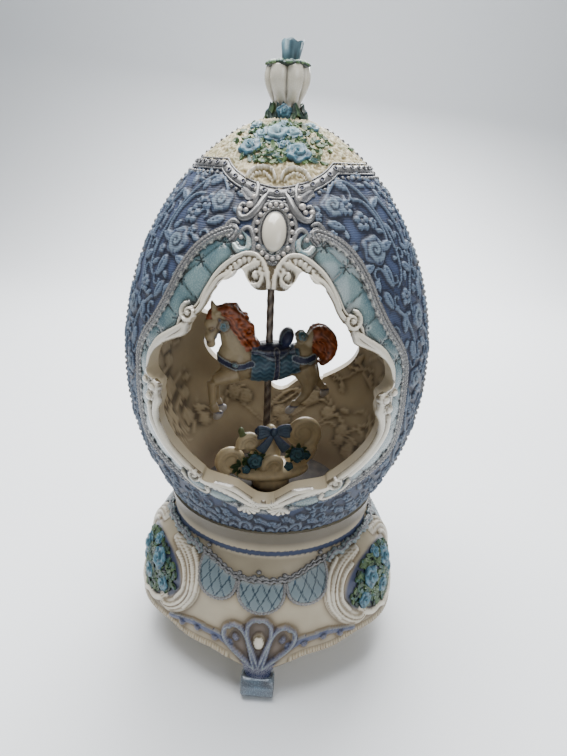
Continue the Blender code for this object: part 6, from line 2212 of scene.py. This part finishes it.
@dataclass
class Horse:
    """The leaping carousel horse with its mane, tail, saddle, blanket and straps."""

    ride: Carousel

    def lump(self, heap: Heap, u: float, v: float, fall: float, a: float, b: float, c: float, lean: float = 0.0) -> None:
        """Adds an oval lump, its height given as a fall from the back."""
        c_, s_ = math.cos(math.radians(lean)), math.sin(math.radians(lean))
        along = self.ride.at(1, 0, 0) - self.ride.at(0, 0, 0)
        across = self.ride.at(0, 1, 0) - self.ride.at(0, 0, 0)
        up = np.array([0.0, 0, 1])
        seat = Seat(self.ride.at(u, v, self.ride.back_z - fall), along * c_ + up * s_, -along * s_ + up * c_, -across)
        heap.ball(seat, (a, c, b), Paint.SHADED_IVORY, 0.0, 24)

    def limb(self, heap: Heap, points: Sequence, radii: Sequence, step: float = 0.5, flat: float = 1.0) -> None:
        """Adds a limb along points, each given along, across and as a fall from the back."""
        raw = np.array([self.ride.at(u, v, self.ride.back_z - fall) for u, v, fall in points])
        line = smooth_line(raw, step)
        run = np.concatenate([[0], np.cumsum(np.linalg.norm(np.diff(raw, axis=0), axis=1))])
        own = np.concatenate([[0], np.cumsum(np.linalg.norm(np.diff(line, axis=0), axis=1))])
        widths = np.interp(own / own[-1], run / run[-1], radii)
        across = self.ride.at(0, 1, 0) - self.ride.at(0, 0, 0)
        heap.tube(line, widths, np.tile(across, (len(line), 1)), Paint.SHADED_IVORY, 0.0, 14, flat)

    def lumps(self) -> Heap:
        """The body's lumps.

        Returns:
            The heap that becomes the horse's skin.
        """
        heap = Heap("horse_lumps")
        for spec in (
            (-1.0, 0, 6.6, 12.5, 4.7, 5.6), (-10.6, 0, 6.0, 5.4, 4.6, 6.2), (10.8, 0, 5.4, 5.8, 4.9, 6.2),
            (4.0, 0, 6.6, 7.0, 4.4, 5.0), (-12.6, 0, 3.0, 4.2, 3.4, 5.0), (-19.0, 0.0, -7.4, 2.1, 1.9, 2.5, 10),
            (-17.6, 0, -10.4, 2.0, 1.9, 2.4, 30), (-17.2, 0.9, -7.6, 2.1, 1.2, 2.6, 20), (-17.2, -0.9, -7.6, 2.1, 1.2, 2.6, 20),
            (-19.3, 0, -3.4, 1.6, 1.45, 1.7), (-18.8, 0, -1.0, 1.5, 1.3, 1.3),
        ):
            self.lump(heap, *spec)
        self.limb(heap, [(-9.5, 0, 5.0), (-11.2, 0, -0.6), (-13.2, 0, -6.4), (-15.6, 0, -10.0)], [5.6, 4.4, 3.3, 2.5], flat=0.72)
        self.limb(heap, [(-16.0, 0, -10.2), (-17.8, 0, -7.4), (-18.8, 0, -4.0), (-19.1, 0, -1.6)], [2.6, 2.3, 1.7, 1.5], flat=0.85)
        for v in (-1.35, 1.35):
            self.limb(heap, [(-17.0, v * 0.8, -10.8), (-17.9, v, -12.6), (-18.5, v * 1.15, -14.9)], [1.2, 1.1, 0.35], 0.3, 0.6)
        for spec in (
            ([(-10.6, -2.6, 8.0), (-14.6, -3.1, 9.4), (-18.8, -3.2, 10.6)], [3.5, 2.6, 1.7]),
            ([(-18.8, -3.2, 10.4), (-19.0, -3.2, 12.6), (-18.7, -3.2, 18.8)], [1.9, 1.5, 1.2]),
            ([(-18.7, -3.2, 18.4), (-18.2, -3.2, 20.2), (-17.4, -3.2, 21.4)], [1.5, 1.5, 1.3]),
            ([(-10.8, 2.6, 8.0), (-14.0, 3.1, 10.6), (-17.2, 3.2, 12.2)], [3.5, 2.6, 1.7]),
            ([(-17.2, 3.2, 12.0), (-17.2, 3.2, 14.6), (-16.8, 3.2, 19.6)], [1.9, 1.5, 1.2]),
            ([(-16.8, 3.2, 19.4), (-16.2, 3.2, 21.0), (-15.4, 3.2, 22.2)], [1.5, 1.5, 1.3]),
            ([(10.6, -2.6, 6.0), (13.4, -3.1, 11.6), (12.4, -3.2, 16.4)], [4.6, 3.2, 1.6]),
            ([(12.8, -3.2, 15.6), (11.4, -3.2, 17.8), (9.4, -3.2, 19.4)], [1.9, 1.4, 1.2]),
            ([(9.6, -3.2, 19.2), (8.6, -3.2, 20.2), (7.8, -3.2, 21.2)], [1.4, 1.5, 1.3]),
            ([(11.8, 2.6, 6.0), (15.4, 3.1, 10.6), (17.6, 3.2, 14.4)], [4.6, 3.2, 1.6]),
            ([(17.2, 3.2, 13.8), (18.6, 3.2, 15.4), (19.8, 3.2, 16.4)], [1.9, 1.4, 1.2]),
            ([(19.6, 3.2, 16.2), (20.4, 3.2, 17.2), (20.8, 3.2, 18.0)], [1.4, 1.5, 1.3]),
        ):
            self.limb(heap, *spec)
        for u, v, fall, lean in ((-17.0, -3.2, 22.6, 40), (-15.0, 3.2, 23.3, 40), (7.2, -3.2, 22.0, 35), (20.9, 3.2, 18.9, 50)):
            self.lump(heap, u, v, fall, 2.0, 1.6, 1.3, lean)
        draw = np.random.default_rng(81)
        crest = ((-16.6, -11.6), (-15.0, -12.0), (-13.2, -11.8), (-11.4, -10.6), (-9.8, -8.6), (-8.6, -6.2), (-7.8, -3.4), (-7.4, -0.2))
        self.limb(heap, [(u - 0.8, 0.0, fall + 1.0) for u, fall in crest], [1.5, 1.9, 2.2, 2.3, 2.3, 2.2, 2.0, 1.6])
        for i, (u, fall) in enumerate(crest):
            for v in (-1.7, -0.6, 0.7, 1.7):
                swing, lift = draw.uniform(-1.5, 1.1), draw.uniform(-1.6, 1.0)
                tip = (u + 3.4 + lift - 0.12 * i, v * 1.3, fall + 1.2 + swing + 0.12 * i)
                self.limb(heap, [(u - 1.4, v * 0.8, fall + 0.8), (u + 0.8, v, fall - 0.4 + 0.4 * swing), (u + 2.4, v * 1.25, fall - 0.2 + swing), tip], [1.0, 1.15, 0.9, 0.25], 0.4)
        self.limb(heap, [(-16.8, -0.5, -12.0), (-18.9, -0.6, -11.6), (-20.0, -0.5, -9.4)], [1.0, 0.9, 0.4], 0.3)
        for v in (-1.5, 0.0, 1.5):
            self.limb(heap, [(12.6, v * 0.4, 0.6), (15.6, v, -4.0 - abs(v) * 0.4), (19.4, v * 1.1, -3.2), (20.9, v, 0.8), (20.0, v, 4.2), (17.4, v * 0.7, 7.2)], [1.4, 2.5, 2.4, 2.1, 1.6, 0.6])
        self.limb(heap, [(14.8, 0, -1.0), (17.8, 0, 1.6), (17.4, 0, 5.0)], [2.2, 2.4, 1.0])
        self.lump(heap, 0.4, 0, 0.9, 6.4, 4.4, 2.0)
        self.lump(heap, 5.6, 0, -2.6, 2.0, 3.7, 3.2, -22)
        self.lump(heap, -5.0, 0, -0.9, 1.6, 3.0, 1.9, 20)
        self.lump(heap, -1.2, 0, 5.6, 5.2, 5.35, 5.5)
        self.lump(heap, 10.6, 0, -2.2, 2.0, 2.3, 1.9)
        return heap

    def build(self) -> None:
        """Builds the horse's skin, carves its details and paints it."""
        places, faces = one_skin(self.lumps(), 0.30, 2)
        # The horse's ivory is darkened for the shade it stands in inside the egg.
        skin = Skin("carousel_horse_skin", places, faces, Paint.SHADED_IVORY)
        self.paint(skin)
        self.details(skin)
        skin.finish(self.ride.looks["horse"], "ivory_resin", "carousel_horse", 6)

    def paint(self, skin: Skin) -> None:
        """Paints mane, tail, saddle, blanket and hooves by where they lie.

        Args:
            skin: the horse's skin.
        """
        own = self.ride.own(skin.places)
        u, v, up = own[:, 0], own[:, 1], own[:, 2] - self.ride.back_z
        swirl = ripple(skin.places, 3.4, 84)
        locks = 0.5 + 0.5 * np.sin(2.6 * u + 1.9 * up + 1.4 * v + 7.0 * swirl)
        locks = 0.5 * locks + 0.5 * ripple(skin.places, 1.5, 85)
        neck_line = np.interp(up, (-2.6, 0.6, 3.3, 6.3, 10.0, 12.5, 16.0), (-7.2, -8.9, -10.6, -12.8, -15.4, -16.8, -17.6))
        neck_line += 0.9 * (ripple(skin.places, 2.0, 86) - 0.5)
        mane = (up > -2.4) & (u > neck_line) & (u < -3.6) & (up > -1.2 + (u > -6.2) * 1.6)
        mane |= (up > 9.2) & (u > -21.2) & (u < -14) & (np.abs(v + 0.5) < 1.0) & ((up > 12.0) | (u < -18.4))
        tail = (u > 13.8) & (up > -8.6 + (u < 17) * 4.5) & (up > -(u - 12.4) * 1.6)
        for zone in (mane, tail):
            skin.paint[zone] = Paint.RUST.light
            skin.tint(np.where(zone, 0.75 * (1 - locks), 0.0), Paint.RUST_DEEP)
            skin.rise[zone] += 0.28 * locks[zone]
        skin.tint(np.where(mane & (up > 11) | tail & (up > 1.5), 0.35, 0.0), Paint.RUST_DEEP)
        foot = np.where(u < 3.6, -11.4 + 0.5 * np.cos(u * 2.6), -11.4 + 0.75 * (u - 3.6))
        blanket = (u > -6.4) & (u < 9.4) & (up < -0.6) & (up > foot) & (np.abs(v) > 2.0)
        skin.paint[blanket] = Paint.BLANKET.light
        waves = 0.5 + 0.5 * np.cos(2 * math.pi * (up + 0.35 * np.sin(2.2 * u)) / 1.5)
        skin.tint(np.where(blanket, 0.45 * waves**3, 0.0), Paint.ROSE_BLUE)
        skin.rise[blanket] += 0.30 + 0.12 * waves[blanket]
        flap = -1.9 - 2.2 * np.exp(-(((u - 1.6) / 4.2) ** 2))
        saddle = (u > -6.4) & (u < 8.2) & (up > flap) & (u > -6.4 + (up > 2.5) * 8) & ~mane
        skin.paint[saddle] = Paint.NAVY.light
        skin.rise[saddle] += 0.25
        piping = saddle & ((np.abs(up - flap - 0.4) < 0.26) | (np.abs(up - flap - 1.5) < 0.2))
        piping |= saddle & (up > 0.5) & (np.abs(np.abs(v) - 1.9) < 0.25)
        skin.tint(np.where(piping, 0.75, 0.0), Paint.DRY_BLUE)
        hoof = up < np.where(u > 15, -17.6, np.where(u > 0, -20.6, -21.4))
        skin.paint[hoof] = Paint.HOOF.light
        top = np.where(u > 15, -17.6, np.where(u > 0, -20.6, -21.4))
        skin.tint(np.where(np.abs(up - top) < 0.28, 0.8, 0.0), Paint.VIOLET)
        muzzle = (u < -18.4) & (up < 2.4) & (up > -2.6)
        skin.tint(np.where(muzzle, 0.35, 0.0), Paint.IVORY_SHADE)
        # Painted shade on the legs and lower body, darker lower down.
        low_body_shade = np.clip((-3 - up) / 12, 0, 0.45) * (~hoof) * (~blanket)
        skin.tint(low_body_shade * (0.5 + 0.5 * ripple(skin.places, 3.0, 83)), Paint.IVORY_SHADE)

    def strap(self, skin: Skin, points: Sequence, width: float, paint: Paint, edge: Paint) -> None:
        """Lays a strap with pale edges over the skin on both flanks.

        Args:
            skin: the horse's skin.
            points: along and up from the back.
            width: half its width.
            paint: its colour.
            edge: colour of its borders.
        """
        own = self.ride.own(skin.places)
        up = own[:, 2] - self.ride.back_z
        line = smooth_line(points, 0.3)
        best = np.full(len(up), 9.0)
        for a, b in zip(line[:-1], line[1:]):
            step = b - a
            share = np.clip(((own[:, 0] - a[0]) * step[0] + (up - a[1]) * step[1]) / float(step @ step), 0, 1)
            best = np.minimum(best, np.hypot(own[:, 0] - a[0] - share * step[0], up - a[1] - share * step[1]))
        on = best < width
        skin.rise[on] = np.maximum(skin.rise[on], 0.28)
        skin.paint[on] = paint.light
        border = on & (best > width * 0.68)
        skin.paint[border] = edge.light
        skin.rise[border] += 0.14

    def details(self, skin: Skin) -> None:
        """Adds straps, flowers, eyes and nostrils.

        Args:
            skin: the horse's skin.
        """
        self.strap(skin, [(-17.4, -2.9), (-14.0, -5.0), (-10.0, -5.9), (-6.2, -5.0)], 1.05, Paint.NAVY, Paint.DRY_BLUE)
        self.strap(skin, [(8.2, -3.6), (11.0, -4.4), (14.0, -3.6)], 1.25, Paint.NAVY, Paint.DRY_BLUE)
        self.strap(skin, [(1.6, -0.8), (2.0, -6.0), (1.6, -13.6)], 0.95, Paint.NAVY, Paint.SILVER)
        self.strap(skin, [(-16.4, 9.4), (-15.6, 6.6), (-17.6, 3.2)], 0.4, Paint.NAVY, Paint.NAVY)
        for side in (-1, 1):
            across = self.ride.at(0, side, 0) - self.ride.at(0, 0, 0)

            def spot(u: float, up: float, reach: float) -> Seat:
                """A seat on the flank nearest to a place."""
                own = self.ride.own(skin.places)
                gap = np.hypot(own[:, 0] - u, own[:, 2] - self.ride.back_z - up) - 0.35 * side * own[:, 1]
                return Seat.facing(skin.places[int(np.argmin(gap))], across)

            skin.dome(spot(-18.7, 6.2, 1), 0.95, 0.50, 0.40, Paint.IVORY_SHADE, spin=-14 * side)
            skin.dome(spot(-18.7, 6.1, 1), 0.85, 0.36, 0.60, Paint.RUST_DEEP, spin=-14 * side)
            skin.dome(spot(-20.0, 1.9, 1), 0.42, 0.30, 0.25, Paint.RUST_DEEP)
            for u, up, size in ((-15.2, 7.2, 2.1), (10.6, 3.2, 1.8), (-11.8, -5.0, 1.1)):
                skin.rose(spot(u, up, 1), size, 0.7, Paint.ROSE_BLUE, 0.2, 20)


@dataclass
class Plinth:
    """The scroll plinth with its bow, roses and leaves."""

    ride: Carousel
    lift: float = 3.6

    def build(self) -> None:
        """Builds the plinth's skin and its flowers."""
        rim = self.ride.floor_z + self.lift
        at = self.ride.at
        across = at(0, 1, 0) - at(0, 0, 0)
        heap = Heap("plinth_lumps")

        def ball(u: float, v: float, rise: float, a: float, b: float, c: float) -> None:
            """Adds a lump at a rise over the rim."""
            along = at(1, 0, 0) - at(0, 0, 0)
            heap.ball(Seat(at(u, v, rim + rise), along, np.array([0.0, 0, 1]), -across), (a, c, b), Paint.CREAM, 0.0, 28)

        def run(points: Sequence, radii: Sequence, step: float = 0.5) -> None:
            """Adds a rounded run through points over the rim."""
            line = smooth_line(np.array([at(u, v, rim + rise) for u, v, rise in points]), step)
            widths = np.interp(np.linspace(0, 1, len(line)), np.linspace(0, 1, len(radii)), radii)
            heap.tube(line, widths, np.tile(across, (len(line), 1)), Paint.CREAM, 0.0, 16)

        def scroll(u0: float, v: float, rise0: float, reach: float, start: float, sweep: float, thick: float) -> None:
            """Adds a C-scroll that winds in to its eye."""
            share = np.linspace(0, 1, 15)
            angle = np.radians(start + sweep * share)
            size = reach * (1 - 0.66 * share)
            run(list(zip(u0 + size * np.cos(angle), np.full(15, v), rise0 + size * np.sin(angle))), thick * (1 - 0.35 * share), 0.4)
            ball(u0, v * 0.8, rise0, reach * 0.92, 1.3, reach * 0.92)

        ball(2.0, 0.0, 2.6, 13.8, 7.4, 2.9)
        run([(2.0, 0.0, -3.3), (2.0, 0.0, 2.0)], (6.8, 6.9, 6.8), 0.4)
        ball(0.0, 0.5, 9.0, 5.4, 4.4, 9.3)
        scroll(-11.8, -0.5, 7.6, 5.0, -100, -330, 2.2)
        scroll(-5.8, -1.8, 14.2, 3.6, -150, -300, 1.9)
        scroll(2.2, -4.6, 6.4, 3.6, 200, -290, 1.9)
        scroll(13.0, 1.5, 15.6, 6.2, -75, 300, 2.4)
        run([(8.0, 0.0, 5.0), (14.5, 0.8, 6.5), (17.2, 1.5, 11.0)], (3.3, 3.1, 2.5))
        run([(-3.0, 0.0, 4.0), (-9.0, -0.4, 4.4), (-13.0, -0.5, 4.6)], (2.9, 2.7, 2.1))
        ball(0.8, -2.4, 18.0, 2.5, 2.5, 3.3)
        ball(-9.0, -1.6, 18.8, 1.1, 1.1, 1.6)
        places, faces = one_skin(heap, 0.32, 2)
        # The plinth's cream is lightened to paint the light on its front, and its back below gets painted shade.
        skin = Skin("scroll_plinth_skin", places, faces, Paint.LIT_PLINTH_CREAM)
        skin.tint(np.clip((self.ride.own(skin.places)[:, 1] + 0.5) / 3, 0, 0.8), Paint.IVORY_SHADE)
        for u0, rise0, reach, start, sweep in ((-11.8, 7.6, 5.0, -100, -330), (-5.8, 14.2, 3.6, -150, -300), (2.2, 6.4, 3.6, 200, -290), (13.0, 15.6, 6.2, -75, 300)):
            share = np.linspace(0, 1, 15)
            angle = np.radians(start + sweep * share)
            size = reach * (1 - 0.66 * share)
            own = self.ride.own(skin.places)
            for k in (0.75, 1.22):
                flat = smooth_line(np.stack([u0 + k * size * np.cos(angle), rim + rise0 + k * size * np.sin(angle)], 1), 0.4)
                best = np.full(len(own), 9.0)
                for spot in flat:
                    best = np.minimum(best, np.hypot(own[:, 0] - spot[0], own[:, 2] - spot[1]))
                skin.rise += 0.14 * np.clip(1 - best / 0.6, 0, 1)
        # Painted shade under the plinth's rim.
        under = np.clip((rim + 0.5 - skin.places[:, 2]) / 3, 0, 0.9)
        skin.tint(under, Paint.WASH_AND_SHADE_BROWN)
        knob = np.linalg.norm(skin.places - at(-9.0, -1.6, rim + 18.8), axis=1) < 2.0
        skin.tint(np.where(knob, 0.9, 0.0), Paint.LEAF)
        skin.finish(self.ride.looks["horse"], "cream_plinth_resin", "scroll_plinth", 6)
        self.flowers(rim)

    def flowers(self, rim: float) -> None:
        """Adds the bow, the roses and the leaves.

        Args:
            rim: height of the plinth's rim.
        """
        at = self.ride.at
        heap = Heap("plinth_bow_and_roses")
        across = at(0, 1, 0) - at(0, 0, 0)
        for way in (-1, 1):
            fan = ((0.6, 20.2), (2.2, 21.2), (4.2, 22.0), (5.6, 21.6))
            low = ((0.6, 19.6), (2.2, 19.0), (4.2, 18.4), (5.6, 18.8))
            for share in (0.0, 0.34, 0.67, 1.0):
                fold = [(1.4 + way * (a + (b - a) * share), -5.3 - 0.3 * k, r + (s_ - r) * share) for k, ((a, r), (b, s_)) in enumerate(zip(fan, low))]
                line = smooth_line(np.array([at(u, v, rim + r) for u, v, r in fold]), 0.3)
                heap.tube(line, np.linspace(0.5, 1.0, len(line)), np.tile(-across, (len(line), 1)), Paint.VIOLET, 0.0, 10, 0.9)
            fill = Seat.facing(at(1.4 + way * 3.6, -5.2, rim + 20.2), -across)
            heap.ball(fill, (2.9, 2.1, 0.9), Paint.VIOLET_DEEP, 0.0, 14, spin=way * 4)
            tail = [(1.4 + way * 0.4, -5.5, 19.0), (1.4 + way * 1.8, -6.0, 16.6), (1.4 + way * 3.4, -6.2, 14.6), (1.4 + way * 4.6, -6.0, 13.0)]
            line = smooth_line(np.array([at(u, v, rim + r) for u, v, r in tail]), 0.3)
            heap.tube(line, np.linspace(0.9, 2.0, len(line)), np.tile(-across, (len(line), 1)), Paint.VIOLET, 0.0, 10, 0.35)
        heap.ball(Seat.facing(at(1.4, -6.0, rim + 20.0), -across), (1.3, 1.7, 1.1), Paint.VIOLET_DEEP, 0.0, 14)
        draw = np.random.default_rng(91)
        for u0, v0, r0 in ((-4.6, -5.0, 8.8), (10.4, -3.8, 9.8), (-8.4, -3.6, 5.4)):
            for i in range(9):
                turn = 2 * math.pi * i / 9
                seat = Seat.facing(at(u0 + 2.9 * math.cos(turn), v0 + 0.7, rim + r0 + 2.3 * math.sin(turn)), -across)
                heap.leaf(seat, draw.uniform(2.6, 3.6), math.degrees(turn) + draw.uniform(-30, 30), Paint.LEAF, Paint.LEAF_DEEP, 0.2)
        for u0, v0, r0, size in ((-4.6, -5.2, 9.0, 2.6), (10.4, -4.2, 9.8, 2.7), (-7.6, -5.0, 5.8, 1.5), (7.2, -5.4, 6.2, 1.6), (13.8, -3.4, 9.0, 1.6)):
            seat = Seat.facing(at(u0, v0, rim + r0), -across * 1.0 + np.array([0, 0, 0.35]))
            heap.rose(seat, size, Paint.ROSE_BLUE, Paint.ROSE_DEEP, draw.uniform(0, 360), 0.6)
        heap.store(self.ride.looks["flower"], "cream_plinth_resin", "scroll_plinth")


@dataclass
class Studio:
    """Pale floor, soft lights and the camera."""

    lens_px: float = 568.0
    frame_height_px: float = 756.0
    sensor_mm: float = 36.0
    camera_place: tuple[float, float, float] = (8.64, -175.49, 160.39)
    heading: float = 2.0
    pitch: float = 21.43
    roll: float = 2.52

    def build(self) -> None:
        """Builds the floor, the lights and the camera."""
        self.floor()
        self.lamp("window_light", (-60, 40, 560), 420, 6.8)
        self.lamp("fill_light", (260, -300, 280), 260, 0.5)
        self.lamp("back_light", (60, 520, 460), 480, 8.2, (0, 300, 0))
        self.lamp("sweep_light", (0, 330, 560), 420, 2.5, (0, 1000, 380))
        world = bpy.data.worlds.new("pale_room")
        bpy.context.scene.world = world
        world.use_nodes = True
        backdrop = world.node_tree.nodes["Background"]
        backdrop.inputs[0].default_value = (0.84, 0.88, 0.92, 1.0)
        backdrop.inputs[1].default_value = 0.38
        self.camera()

    def floor(self) -> None:
        """Builds one pale sheet that runs back and curves up behind."""
        rows = [(-900.0, -0.05), (500.0, -0.05)]
        bend = 500.0
        rows += [(500 + bend * math.sin(a), -0.05 + bend * (1 - math.cos(a))) for a in np.linspace(0.1, math.pi / 2, 16)]
        rows.append((1000.0, 1500.0))
        places = [(x * MM, y * MM, z * MM) for y, z in rows for x in (-1600.0, 1600.0)]
        faces = [(2 * i, 2 * i + 1, 2 * i + 3, 2 * i + 2) for i in range(len(rows) - 1)]
        mesh = bpy.data.meshes.new("paper_sweep")
        mesh.from_pydata(places, [], faces)
        mesh.shade_smooth()
        look = bpy.data.materials.new("matt_paper_sweep")
        look.use_nodes = True
        shader = look.node_tree.nodes["Principled BSDF"]
        shader.inputs["Base Color"].default_value = (*linear("E6E9EC"), 1.0)
        shader.inputs["Roughness"].default_value = 0.85
        mesh.materials.append(look)
        sheet = bpy.data.objects.new("paper_sweep", mesh)
        bpy.context.scene.collection.objects.link(sheet)

    def lamp(self, name: str, place: Sequence, size: float, watts: float, target: Sequence = (0, 0, 90)) -> None:
        """Adds one square soft light.

        Args:
            name: its name.
            place: where it stands, in millimetres.
            size: its side, in millimetres.
            watts: its power.
            target: what it is aimed at, in millimetres.
        """
        light = bpy.data.lights.new(name, "AREA")
        light.size = size * MM
        light.energy = watts
        holder = bpy.data.objects.new(name, light)
        bpy.context.scene.collection.objects.link(holder)
        from mathutils import Vector

        spot = Vector(place) * MM
        holder.location = spot
        holder.rotation_euler = (Vector(target) * MM - spot).to_track_quat("-Z", "Y").to_euler()

    def camera(self) -> None:
        """Sets the camera where the photograph was taken from."""
        from mathutils import Matrix, Vector

        lens = bpy.data.cameras.new("photo_camera")
        lens.sensor_width = self.sensor_mm
        lens.lens = self.lens_px * self.sensor_mm / self.frame_height_px
        lens.clip_start, lens.clip_end = 0.01, 20.0
        holder = bpy.data.objects.new("photo_camera", lens)
        bpy.context.scene.collection.objects.link(holder)
        heading = Matrix.Rotation(math.radians(self.heading), 4, "Z")
        tilt = Matrix.Rotation(math.radians(90 - self.pitch), 4, "X")
        roll = Matrix.Rotation(math.radians(self.roll), 4, "Z")
        holder.matrix_world = Matrix.Translation(Vector(self.camera_place) * MM) @ heading @ tilt @ roll
        bpy.context.scene.camera = holder


def main() -> None:
    """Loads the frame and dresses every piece."""
    logging.basicConfig(level=logging.INFO, format="%(message)s")
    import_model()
    looks = {
        key: finish.make()
        for key, finish in {
            "field": FIELD_RESIN, "frame": FRAME_RESIN, "silver": SILVER_RESIN, "cream": CREAM_RESIN, "cap": CAP_RESIN, "hollow": HOLLOW_RESIN,
            "flower": FLOWER_RESIN, "horse": HORSE_RESIN, "rod": TWIST_ROD, "pearl": CABOCHON,
        }.items()
    }
    egg = Egg()
    field = EggField(egg, looks["field"])
    parts: list = [WindowBorder(egg, side, looks) for side in Side]
    parts += [field, EggTrim(egg, field, looks), Cap(egg, field, looks), Interior(egg, looks["hollow"])]
    parts += [PearlSetting(egg, looks["pearl"]), Stand(looks), Finial(looks), Carousel(looks), Studio()]
    for part in parts:
        part.build()


if __name__ == "__main__":
    main()
